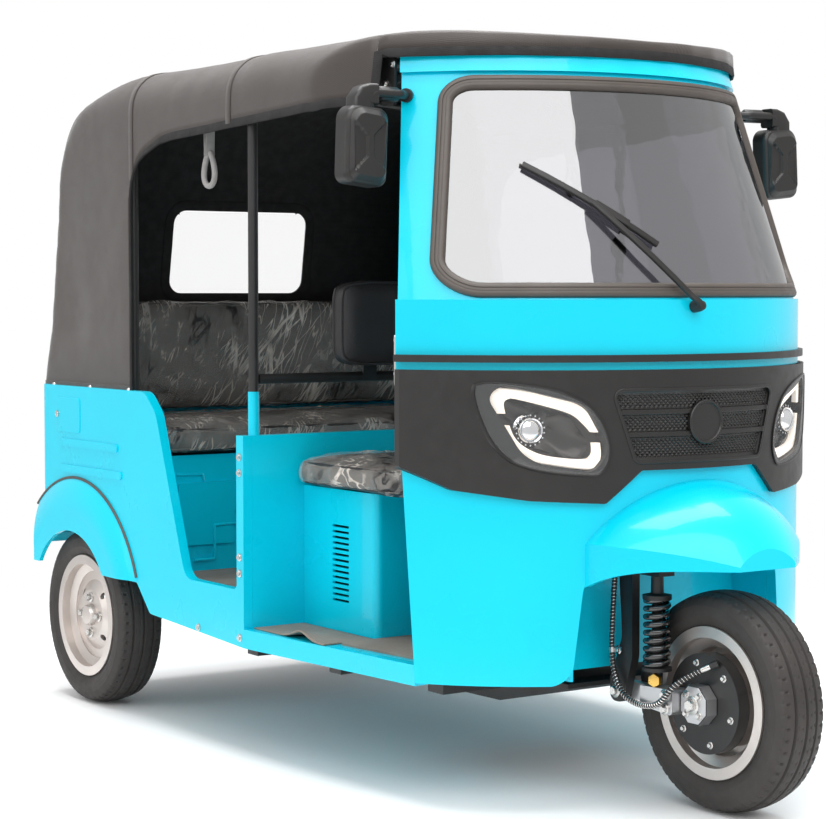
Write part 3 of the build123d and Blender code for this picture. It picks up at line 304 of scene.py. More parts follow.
GLASS = Finish("windscreen_glass", "glass", srgb(72, 71, 79), 0.0, transmission=1.0, ior=2.5, pattern=Pattern.PEEL,
               pitch=0.3, depth=0.00005, mottle=0.03, patch=0.6)
FILM = Finish("window_film", "clear_film", srgb(250, 250, 250), 0.15, alpha=0.05, pattern=Pattern.PEEL,
              pitch=0.05, depth=0.0006, mottle=0.03)
TYRE = Finish("tyre_rubber", "tyre", srgb(48, 44, 42), 0.66, pattern=Pattern.GRAIN, pitch=0.003, depth=0.0002,
              mottle=0.18, patch=0.08)
WHEEL = Finish("wheel_silver", "wheel_steel", srgb(206, 198, 193), 0.36, metallic=0.8, pattern=Pattern.PEEL,
               pitch=0.003, depth=0.00005, mottle=0.08)
ALLOY = Finish("cast_alloy", "cast_alloy", srgb(182, 180, 178), 0.42, metallic=0.9, pattern=Pattern.CAST,
               pitch=0.0025, depth=0.0003, mottle=0.10, patch=0.03)
STEEL = Finish("bright_steel", "steel", srgb(205, 203, 200), 0.25, metallic=1.0, pattern=Pattern.BRUSHED,
               pitch=0.004, depth=0.00004, mottle=0.06, patch=0.02)
BRASS = Finish("brass_fitting", "steel", srgb(214, 176, 96), 0.3, metallic=1.0, pattern=Pattern.BRUSHED,
               pitch=0.004, depth=0.00004, mottle=0.08, patch=0.02)
VINYL = Finish("seat_vinyl", "vinyl_seat", srgb(36, 34, 35), 0.5, pattern=Pattern.CAST, pitch=0.002,
               depth=0.0002, mottle=0.12)
MAT = Finish("ribbed_mat", "mat", srgb(134, 124, 114), 0.8, pattern=Pattern.RIBS, pitch=0.012, depth=0.0015,
             mottle=0.15)
CASE = Finish("battery_case", "cell_case", srgb(40, 40, 42), 0.6, mottle=0.1)
GUIDE = Finish("light_guide", "lamp", srgb(255, 244, 232), 0.35, glow=0.35, pattern=Pattern.RIBS, pitch=0.004,
               depth=0.0001, mottle=0.02)
BOWL = Finish("lamp_bowl", "lamp", srgb(46, 41, 38), 0.25, metallic=0.4, pattern=Pattern.PEEL, pitch=0.01,
              depth=0.0003, mottle=0.15, patch=0.03)
CHROME = Finish("lamp_chrome", "lamp", srgb(225, 226, 228), 0.08, metallic=1.0, pattern=Pattern.PEEL,
                pitch=0.02, depth=0.0001, mottle=0.05, patch=0.02)
LENS = Finish("lamp_lens", "lamp", srgb(240, 244, 246), 0.03, alpha=0.06, pattern=Pattern.PEEL, pitch=0.03,
              depth=0.0001, mottle=0.03)
RED = Finish("red_lens", "red_lamp", srgb(176, 18, 20), 0.18, coat=0.6, pattern=Pattern.RIBS, pitch=0.006,
             depth=0.0008, mottle=0.1)
WEBBING = Finish("grey_webbing", "webbing", srgb(150, 148, 146), 0.7, pattern=Pattern.WEAVE, pitch=0.0016,
                 depth=0.0003, mottle=0.12, patch=0.02)
HOSE = Finish("black_hose", "hose", srgb(34, 33, 33), 0.5, depth=0.0002)
MIRROR = Finish("mirror_glass", "steel", srgb(214, 220, 224), 0.03, metallic=1.0, pattern=Pattern.PEEL, pitch=0.2,
                depth=0.00002, mottle=0.02)
SPRING = Finish("spring_gloss_black", "steel", srgb(24, 23, 23), 0.16, coat=1.0, pattern=Pattern.PEEL, pitch=0.004,
                depth=0.00004)
# Pale film at 0.2 opacity: its haze is painted sheen, and its streaks are painted highlights of light on the crinkles.
WRAP = Finish("clear_wrap", "clear_film", srgb(232, 224, 214), 0.2, alpha=0.2, pattern=Pattern.CRINKLE, pitch=0.03,
              depth=0.003, mottle=0.1, patch=0.05, highlight_streaks=0.7)


@dataclass
class Shell:
    """Points and four-cornered faces of a mesh in the making."""
    points: Array
    faces: Array

    def placed(self, matrix: Array) -> "Shell":
        """A copy carried by a 4 by 4 matrix."""
        return Shell(self.points @ matrix[:3, :3].T + matrix[:3, 3], self.faces)


def lattice(points: Array, wrap_u: bool = False, wrap_v: bool = False) -> Shell:
    """Joins a grid of points with faces.

    Args:
        points: Array of shape (rows, columns, 3).
        wrap_u: Joins the last row to the first.
        wrap_v: Joins the last column to the first.

    Returns:
        The shell.
    """
    rows, columns = points.shape[:2]
    i = np.arange(rows if wrap_u else rows - 1)[:, None]
    j = np.arange(columns if wrap_v else columns - 1)[None, :]
    after_i, after_j = (i + 1) % rows, (j + 1) % columns
    corners = (i * columns + j, after_i * columns + j, after_i * columns + after_j, i * columns + after_j)
    return Shell(points.reshape(-1, 3), np.stack(corners, -1).reshape(-1, 4))


def joined(shells: Iterable[Shell]) -> Shell:
    """Several shells as one: points in a row, and faces moved on by the points before them.

    Args:
        shells: The shells.

    Returns:
        One shell.
    """
    points, faces, start = [], [], 0
    for shell in shells:
        points.append(shell.points)
        faces.append(shell.faces + start)
        start += len(shell.points)
    return Shell(np.concatenate(points), np.concatenate(faces))


def spokes(angle: Array) -> Array:
    """Unit vectors (cosine, sine) at angles."""
    return np.stack([np.cos(angle), np.sin(angle)], -1)


def full_turn(count: int) -> Array:
    """Even angles of one full turn, without the last."""
    return np.linspace(0, TURN, count, endpoint=False)


def thinned(path: Array, gap: float) -> Array:
    """Path without the points that lie within `gap` of the one before."""
    return path[np.concatenate([[True], np.linalg.norm(np.diff(path, axis=0), axis=1) > gap])]


def facing(origin: Sequence[float], axis: Sequence[float], hint: Sequence[float] = (0, 0, 1)) -> Array:
    """Matrix that carries local Z to an axis and local X near a hint.

    Args:
        origin: Place of the local origin.
        axis: Direction of local Z.
        hint: Direction that local X follows as far as it can.

    Returns:
        A 4 by 4 matrix.
    """
    z = np.asarray(axis, float) / np.linalg.norm(axis)
    hint = np.asarray(hint, float)
    if abs(z @ hint) > 0.95 * np.linalg.norm(hint):
        hint = np.array((0.0, 1.0, 0.0)) if abs(z[1]) < 0.9 else np.array((1.0, 0.0, 0.0))
    x = hint - z * (z @ hint)
    x /= np.linalg.norm(x)
    matrix = np.eye(4)
    matrix[:3, 0], matrix[:3, 1], matrix[:3, 2], matrix[:3, 3] = x, np.cross(z, x), z, origin
    return matrix


def revolved(profile: Sequence[tuple[float, float]], count: int = 32) -> Shell:
    """Surface of revolution about local Z: each point of a profile is turned through a circle.

    Args:
        profile: Points as (height, radius).
        count: Steps of the circle.

    Returns:
        The shell.
    """
    line = np.asarray(profile, float)
    points = np.empty((len(line), count, 3))
    points[..., :2] = line[:, None, 1:] * spokes(full_turn(count))
    points[..., 2] = line[:, :1]
    return lattice(points, wrap_v=True)


def swept(path: Array, section: Array, normals: Array, closed: bool = False) -> Shell:
    """Carries a closed section along a path; open ends close onto the section's middle.

    Args:
        path: Points of the path.
        section: Points as (across the path, along the normal).
        normals: One normal, or one for each point.
        closed: Whether the path runs back to its start.

    Returns:
        The shell.
    """
    ahead = np.roll(path, -1, 0) - np.roll(path, 1, 0) if closed else np.gradient(path, axis=0)
    ahead /= np.linalg.norm(ahead, axis=1, keepdims=True)
    normals = np.broadcast_to(normals, path.shape)
    normals = normals - ahead * np.sum(ahead * normals, 1, keepdims=True)
    normals /= np.linalg.norm(normals, axis=1, keepdims=True)
    side = np.cross(ahead, normals)
    points = path[:, None] + section[None, :, :1] * side[:, None] + section[None, :, 1:] * normals[:, None]
    if not closed:
        ends = np.repeat(points.mean(1, keepdims=True), len(section), 1)
        points = np.concatenate([ends[:1], points, ends[-1:]])
    return lattice(points, wrap_u=closed, wrap_v=True)


def rounded(corners: Sequence[Point], arc: int = 8, straight: int = 6) -> Array:
    """Closed outline through corners: arcs at the corners and even steps between.

    Args:
        corners: Corners as (u, v, radius).
        arc: Points of an arc.
        straight: Steps of a straight.

    Returns:
        The outline's points.
    """
    ends = []
    count = len(corners)
    for index, (u, v, radius) in enumerate(corners):
        here = np.array((u, v))
        back = np.array(corners[index - 1][:2]) - here
        ahead = np.array(corners[(index + 1) % count][:2]) - here
        back, ahead = back / np.linalg.norm(back), ahead / np.linalg.norm(ahead)
        half = math.acos(np.clip(back @ ahead, -1, 1)) / 2
        middle = here + (back + ahead) / np.linalg.norm(back + ahead) * radius / math.sin(half)
        start, end = here + back * radius / math.tan(half), here + ahead * radius / math.tan(half)
        first, last = start - middle, end - middle
        turn = math.atan2(first[0] * last[1] - first[1] * last[0], first @ last)
        angle = math.atan2(first[1], first[0]) + turn * np.linspace(0, 1, arc)
        ends.append(middle + radius * spokes(angle))
    pieces = []
    for index, piece in enumerate(ends):
        pieces.append(piece)
        after = ends[(index + 1) % count][0]
        part = np.linspace(0, 1, straight + 1)[1:-1, None]
        pieces.append(piece[-1] + (after - piece[-1]) * part)
    return np.concatenate(pieces)


def boxed(half: float, low: float, high: float, foot: float, top: float) -> list[Point]:
    """Corners (u, v, radius) of a box about the middle line, with one radius at the foot and one at the top."""
    return [(-half, low, foot), (half, low, foot), (half, high, top), (-half, high, top)]


def rounded_section(width: float, height: float, radius: float) -> Array:
    """Outline of a strip's section, its foot on the path."""
    return rounded(boxed(width / 2, 0, height, radius * 0.3, radius), 5, 1)


def circle(radius: float, count: int = 10) -> Array:
    """Points of a circle."""
    return radius * spokes(full_turn(count))


def ripple(points: Array, pitch: float, seed: int, waves: int = 7) -> Array:
    """Smooth uneven relief from about -1 to 1: a sum of plane waves with fixed random directions.

    Args:
        points: Places.
        pitch: Usual length of a wave.
        seed: Seed of the draws.
        waves: Number of waves.

    Returns:
        The relief at each place.
    """
    dice = np.random.default_rng(seed)
    ways = dice.normal(size=(waves, 3))
    ways *= (TURN / pitch * dice.uniform(0.5, 1.6, (waves, 1))) / np.linalg.norm(ways, axis=1, keepdims=True)
    return np.sin(points @ ways.T + dice.uniform(0, TURN, waves)).sum(-1) / math.sqrt(waves * 2)


def folds(points: Array, pitch: float, seed: int) -> Array:
    """Sharp creases from 0 to 1, where two uneven reliefs fold over zero."""
    first, second = ripple(points, pitch, seed), ripple(points, pitch * 0.55, seed + 1)
    return np.clip(1 - np.abs(first) * 1.6, 0, 1) ** 2 + 0.5 * np.clip(1 - np.abs(second) * 1.8, 0, 1) ** 2


def linked(name: str, data: bpy.types.ID) -> Piece:
    """New object of some data, linked into the scene.

    Args:
        name: Its name.
        data: Its mesh, curve, lamp or camera.

    Returns:
        The object.
    """
    obj = bpy.data.objects.new(name, data)
    bpy.context.scene.collection.objects.link(obj)
    return obj


def solid(name: str, shell: Shell, finish: Finish, body: Body = Body.BODY, inside: Sequence[float] | None = None,
          sharp: float = 38.0) -> Piece:
    """Makes an object of a shell, welded, smooth and facing outwards, and hangs it on a body.

    Args:
        name: The piece's name.
        shell: Its points and faces.
        finish: Its finish.
        body: The body that it rides on.
        inside: A point on the inner side of an open sheet.
        sharp: Angle in degrees above which an edge stays sharp.

    Returns:
        The new object.
    """
    mesh = bpy.data.meshes.new(name)
    mesh.vertices.add(len(shell.points))
    mesh.vertices.foreach_set("co", shell.points.astype(np.float32).ravel())
    mesh.loops.add(shell.faces.size)
    mesh.loops.foreach_set("vertex_index", shell.faces.astype(np.int32).ravel())
    mesh.polygons.add(len(shell.faces))
    mesh.polygons.foreach_set("loop_start", np.arange(len(shell.faces), dtype=np.int32) * 4)
    mesh.update(calc_edges=True)
    work = bmesh.new()
    work.from_mesh(mesh)
    bmesh.ops.remove_doubles(work, verts=work.verts, dist=2e-6)
    bmesh.ops.dissolve_degenerate(work, edges=work.edges, dist=1e-7)
    bmesh.ops.delete(work, geom=[vert for vert in work.verts if not vert.link_faces], context="VERTS")
    bmesh.ops.recalc_face_normals(work, faces=work.faces)
    if inside is not None:
        lean = sum(np.dot(f.normal, np.array(f.calc_center_median()) - inside) * f.calc_area() for f in work.faces)
        if lean < 0:
            bmesh.ops.reverse_faces(work, faces=work.faces)
    work.to_mesh(mesh)
    work.free()
    mesh.polygons.foreach_set("use_smooth", np.ones(len(mesh.polygons), dtype=bool))
    mesh.set_sharp_from_angle(angle=math.radians(sharp))
    mesh.materials.append(finish.material())
    obj = linked(name, mesh)
    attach(obj, body.value)
    LOG.info("%s: %d faces on %s", name, len(mesh.polygons), body.value)
    return obj


def hex_bolt(radius: float, height: float, at: Sequence[float], way: Sequence[float]) -> Shell:
    """Bolt head on a washer: a six-sided turn of the head's profile over a round washer.

    Args:
        radius: The head's radius.
        height: Height over all.
        at: Middle of its foot.
        way: Direction in which it stands out.

    Returns:
        The bolt.
    """
    head = revolved([(height * 0.3, 0), (height * 0.3, radius), (height * 0.85, radius), (height, radius * 0.85),
                     (height, 0)], 6)
    washer = revolved([(0, 0), (0, radius * 1.5), (height * 0.25, radius * 1.5), (height * 0.32, radius * 1.3),
                       (height * 0.32, 0)], 20)
    return joined([head, washer]).placed(facing(at, way))


def dome(radius: float, height: float, count: int = 20) -> Shell:
    """Flat-backed dome about local Z: a quarter circle turned about its axis.

    Args:
        radius: Radius of the foot.
        height: Height.
        count: Steps round it.

    Returns:
        The dome.
    """
    turn = np.linspace(0, math.pi / 2, 6)
    profile = [(0, 0), *zip(height * np.sin(turn), radius * np.cos(turn))]
    return revolved(profile, count)


@dataclass(frozen=True)
class FrontShell:
    """Nose and leaning windscreen panel, in plan a bow through the front and the two rear edges."""
    half: float = 0.602
    front: float = -0.905
    edge: float = -0.5624
    screen_z: float = 1.140
    head_z: float = 1.690
    step: float = 0.010
    setback: float = 0.213
    taper: float = 0.1127
    lean: float = 0.1388

    def bow(self, z: Array) -> tuple[Array, Array]:
        """Bow in plan: the circle through the front and the two rear edges, which draw in above the screen's foot.

        Args:
            z: Heights.

        Returns:
            Radius of the bow and its centre's place along the vehicle.
        """
        part = np.clip((np.asarray(z) - self.screen_z) / (self.head_z - self.screen_z), 0, None)
        above = np.asarray(z) >= self.screen_z
        half = self.half - np.where(above, self.step + (self.taper - self.step) * part, 0)
        front = self.front + np.where(above, self.step + (self.setback - self.step) * part, 0)
        edge = self.edge + np.where(above, self.step / 2 + (self.lean - self.step / 2) * part, 0)
        depth = edge - front
        radius = (half ** 2 + depth ** 2) / (2 * depth)
        return radius, front + radius

    def at(self, x: Array, z: Array, out: Array | float = 0.0) -> Array:
        """Points of the panel's face, each on the bow of its height.

        Args:
            x: Breadths.
            z: Heights.
            out: Distance in front of the face.

        Returns:
            The points.
        """
        x, z, out = np.broadcast_arrays(np.asarray(x, float), np.asarray(z, float), np.asarray(out, float))
        radius, centre = self.bow(z)
        y = centre - np.sqrt(np.maximum((radius + out) ** 2 - x ** 2, 1e-9))
        return np.stack([x, y, z], -1)

    def normal(self, x: Array, z: Array) -> Array:
        """Outward normals of the panel's face: the cross product of its slopes across and up.

        Args:
            x: Breadths.
            z: Heights.

        Returns:
            Unit normals.
        """
        step = 1e-3
        across = self.at(np.asarray(x) + step, z) - self.at(np.asarray(x) - step, z)
        up = self.at(x, np.asarray(z) + step) - self.at(x, np.asarray(z) - step)
        normal = np.cross(across, up)
        return normal / np.linalg.norm(normal, axis=-1, keepdims=True)


NOSE = FrontShell()


@dataclass
class Studio:
    """Floor, white surround, soft lamps and the camera."""
    camera_at: Point = (-3.3561, -4.6384, 1.1558)
    camera_turn: Point = (86.972, 0.0, -34.504)
    lens: float = 96.53
    sensor: float = 36.0
    floor_size: float = 40.0
    fade: tuple[float, float] = (1.7, 3.2)
    surround: float = 0.8
    aim: Point = (0, 0, 0.8)
    lamps: tuple[tuple[str, Point, tuple[float, float], float], ...] = (
        ("key", (-0.9, -5.2, 5.0), (7.0, 3.0), 190.0),
        ("side", (-5.5, 1.0, 2.6), (4.0, 3.0), 50.0),
        ("far", (5.0, -2.0, 3.0), (3.0, 3.0), 50.0),
        ("top", (0.0, 0.3, 5.5), (4.0, 4.0), 380.0),
        ("card", (-3.3, -3.75, 4.9), (7.6, 3.8), 290.0),
    )

    def build(self) -> None:
        """Makes the whole stage."""
        self._floor()
        self._world()
        for name, place, size, power in self.lamps:
            self._lamp(name, place, size, power)
        self._camera()
        bpy.context.scene.view_settings.view_transform = "Standard"

    def _floor(self) -> None:
        """Pale floor that keeps the shadow and fades out into the white surround."""
        half = self.floor_size / 2
        mesh = bpy.data.meshes.new("floor")
        mesh.from_pydata([(-half, -half, 0), (half, -half, 0), (half, half, 0), (-half, half, 0)], [], [(0, 1, 2, 3)])
        graph = Graph("pale_floor")
        graph.plug(graph.shader.inputs["Base Color"], graph.ramp(graph.noise(0.8), [(0.0, srgb(248, 248, 248)),
                                                                                   (1.0, srgb(252, 252, 252))]))
        graph.shader.inputs["Roughness"].default_value = 0.9
        away = graph.add("ShaderNodeVectorMath", {0: graph.place}, operation="LENGTH").outputs["Value"]
        graph.plug(graph.shader.inputs["Alpha"], graph.carried(away, self.fade, (1.0, 0.0)))
        mesh.materials.append(graph.material)
        linked("floor", mesh)

    def _world(self) -> None:
        """World that is white to the camera and through glass, and an even grey to the rest."""
        world = bpy.data.worlds.new("surround")
        bpy.context.scene.world = world
        world.use_nodes = True
        tree = world.node_tree
        shade = tree.nodes["Background"]
        shade.inputs["Color"].default_value = (1, 1, 1, 1)
        path = tree.nodes.new("ShaderNodeLightPath")
        either = tree.nodes.new("ShaderNodeMath")
        either.operation = "MAXIMUM"
        for index, name in enumerate(("Is Camera Ray", "Is Transmission Ray")):
            tree.links.new(path.outputs[name], either.inputs[index])
        level = tree.nodes.new("ShaderNodeMapRange")
        level.inputs["To Min"].default_value = self.surround
        level.inputs["To Max"].default_value = 1.0
        tree.links.new(either.outputs[0], level.inputs["Value"])
        tree.links.new(level.outputs["Result"], shade.inputs["Strength"])

    def _lamp(self, name: str, place: Sequence[float], size: Sequence[float], power: float) -> None:
        """One soft lamp that faces the vehicle; the card shows only in gloss, the key and far lamps never.

        Args:
            name: The lamp's name.
            place: Its middle.
            size: Its two sides.
            power: Watts.
        """
        light = bpy.data.lights.new(name, "AREA")
        light.shape, light.size, light.size_y, light.energy = "RECTANGLE", *size, power
        lamp = linked(name, light)
        away = np.asarray(place) - self.aim
        matrix = facing(place, away, np.cross((0, 0, 1.0), away) + (1e-6, 0, 0))
        lamp.matrix_world = [list(row) for row in matrix.T]
        lamp.visible_diffuse = name != "card"
        lamp.visible_glossy = name not in ("key", "far")

    def _camera(self) -> None:
        """Camera at the photograph's viewing angle."""
        data = bpy.data.cameras.new("camera")
        data.sensor_fit, data.sensor_width, data.lens = "HORIZONTAL", self.sensor, self.lens
        camera = linked("camera", data)
        camera.location = self.camera_at
        camera.rotation_euler = [math.radians(angle) for angle in self.camera_turn]
        bpy.context.scene.camera = camera


@dataclass
class BodyWork:
    """Finishes of the frame's own nodes."""
    painted: tuple[str, ...] = ("floor_pan", "sills", "partition", "cowl_lower", "cowl_upper", "roof_visor",
                                "front_fender", "side_panels", "back_panel", "rear_fenders", "driver_seat_box",
                                "passenger_seat_base", "wheel_well")
    black: tuple[str, ...] = ("chassis_rails", "cross_members", "tow_bar", "steering_head", "canopy_frame",
                              "rear_bumper", "rear_axle", "leaf_springs", "steering_fork", "front_hub")
    plastic: tuple[str, ...] = ("cowl_trim", "front_mask", "front_grille", "mirrors", "handlebar", "wiper")
    single: dict[str, Finish] = field(default_factory=lambda: {
        "windscreen_glass": GLASS, "windscreen_seal": SEAL, "floor_mats": MAT, "rear_window": FILM,
        "battery_pack": CASE, "tail_lamps": RED, "swing_arm": ALLOY, "shock_absorber": BLACK, "brake_hose": HOSE,
        "headlamps": BOWL, "grab_straps": WEBBING, "pillar_brackets": STEEL, "canopy_roof": CANOPY,
        "canopy_rear": CANOPY, "driver_cushion": VINYL, "driver_backrest": VINYL, "passenger_cushion": VINYL,
        "passenger_backrest": VINYL, "front_tyre": TYRE, "rear_right_tyre": TYRE, "rear_left_tyre": TYRE,
        "front_rim": WHEEL, "rear_right_rim": WHEEL, "rear_left_rim": WHEEL})

    def dress(self) -> None:
        """Gives every node of the frame its finish."""
        table = {**{n: PAINT for n in self.painted}, **{n: BLACK for n in self.black},
                 **{n: TRIM for n in self.plastic}, **self.single}
        for name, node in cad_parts.items():
            node.data.materials.clear()
            node.data.materials.append(table[name].material())
            LOG.info("%s: %s", name, table[name].name)


@dataclass
class TyreTread:
    """A tyre with a grooved tread, notched shoulders and ringed sidewalls."""
    radius: float = 0.247
    width: float = 0.138
    seat: float = 0.1513
    bead: float = 0.054
    foot: float = 0.172
    grooves: tuple[float, ...] = (-0.030, 0.0, 0.030)
    groove_w: float = 0.0055
    groove_d: float = 0.006
    notches: int = 56
    steps: int = 336
    shoulder_w: float = 0.012
    shoulder_d: float = 0.011
    bulge: float = 0.0115
    ring: float = 0.0008
    tread_d: float = 0.0125
    skew: float = 1.6
    notch_d: float = 0.0042
    sipe_d: float = 0.003
    rib: tuple[float, float] = (0.008, 0.024)

    def profile(self) -> Array:
        """Section: bulged walls with two raised rings, and a crown that falls with the square of the breadth.

        Returns:
            Points as (across, radius), from one bead over the tread to the other.
        """
        half, shoulder = self.width / 2 - self.shoulder_w, self.radius - self.shoulder_d
        wall = np.linspace(0, 1, 26)
        side_x = self.bead + (half - self.bead) * wall + self.bulge * np.sin(wall * math.pi) ** 0.8
        side_r = self.foot + (shoulder - self.foot) * wall
        side_x += self.ring * (np.abs(wall - 0.35) < 0.05) + self.ring * (np.abs(wall - 0.72) < 0.04)
        across = np.linspace(half, -half, 96)
        crown = shoulder + (self.radius - shoulder) * (1 - (across / half) ** 2)
        left = np.stack([side_x, side_r], -1)
        right = left[::-1] * (-1, 1)
        foot = np.array([(self.bead, self.seat)])
        return np.concatenate([foot, left, np.stack([across, crown], -1)[1:-1], right, foot * (-1, 1)])

    def build(self, name: str, node: str, place: Sequence[float], body: Body) -> None:
        """Makes the tyre: each point lies at the profile's radius less the depth of grooves and notches,
        turned through the wheel's angle.

        Args:
            name: The piece's name.
            node: The frame's tyre that it stands for.
            place: The wheel's middle.
            body: The wheel.
        """
        line = self.profile()
        turn = full_turn(self.steps)
        x, radius = line[:, 0], line[:, 1]
        tread = radius > self.radius - self.tread_d
        cut = np.zeros((len(line), self.steps))
        for groove in self.grooves:
            depth = np.clip(1.4 - np.abs(x - groove) / (self.groove_w / 2), 0, 1) * self.groove_d
            cut = np.maximum(cut, (depth * tread)[:, None])
        skew = turn[None, :] + np.abs(x)[:, None] * self.skew
        wave = np.abs(((skew * self.notches / TURN) % 1) - 0.5) * 2
        notch = np.clip((0.16 - wave) / 0.08, 0, 1)
        edge = np.clip((np.abs(x) - 0.040) / 0.003, 0, 1) * np.clip((self.radius - 0.005 - radius) / -0.02 + 1.0, 0, 1)
        cut = np.maximum(cut, notch * (edge * (radius > self.radius - 0.024))[:, None] * self.notch_d)
        sipe = np.clip((0.07 - np.abs(((skew * self.notches / TURN + 0.5) % 1) - 0.5) * 2) / 0.05, 0, 1)
        rib = (np.abs(x) > self.rib[0]) & (np.abs(x) < self.rib[1]) & tread
        cut = np.maximum(cut, sipe * rib[:, None] * self.sipe_d)
        reach = radius[:, None] - cut
        points = np.stack([np.broadcast_to(x[:, None], reach.shape), reach * np.cos(turn), reach * np.sin(turn)], -1)
        tyre = solid(name, lattice(points + place, wrap_u=True, wrap_v=True), TYRE, body)
        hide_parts(node)


@dataclass
class WheelDress:
    """Nuts and hub cap on a rear wheel's disc."""
    circle_r: float = 0.050
    hat: float = 0.040
    nuts: int = 4

    def build(self, name: str, place: Sequence[float], out: float, body: Body) -> None:
        """Sets the nuts round the hub's cap.

        Args:
            name: The wheel's name.
            place: The wheel's middle.
            out: Side that the disc faces, 1 or -1.
            body: The wheel.
        """
        face = place[0] + out * (self.hat + 0.0002)
        nuts = []
        for turn in np.arange(self.nuts) * TURN / self.nuts:
            at = (face, place[1] + self.circle_r * math.cos(turn), place[2] + self.circle_r * math.sin(turn))
            nuts.append(hex_bolt(0.0095, 0.014, at, (out, 0, 0)))
        solid(name + "_nuts", joined(nuts), STEEL, body)
        cap = revolved([(0, 0), (0, 0.031), (0.010, 0.030), (0.016, 0.025), (0.018, 0.012), (0.018, 0)], 36)
        solid(name + "_cap", cap.placed(facing((face, *place[1:]), (out, 0, 0))), WHEEL, body)


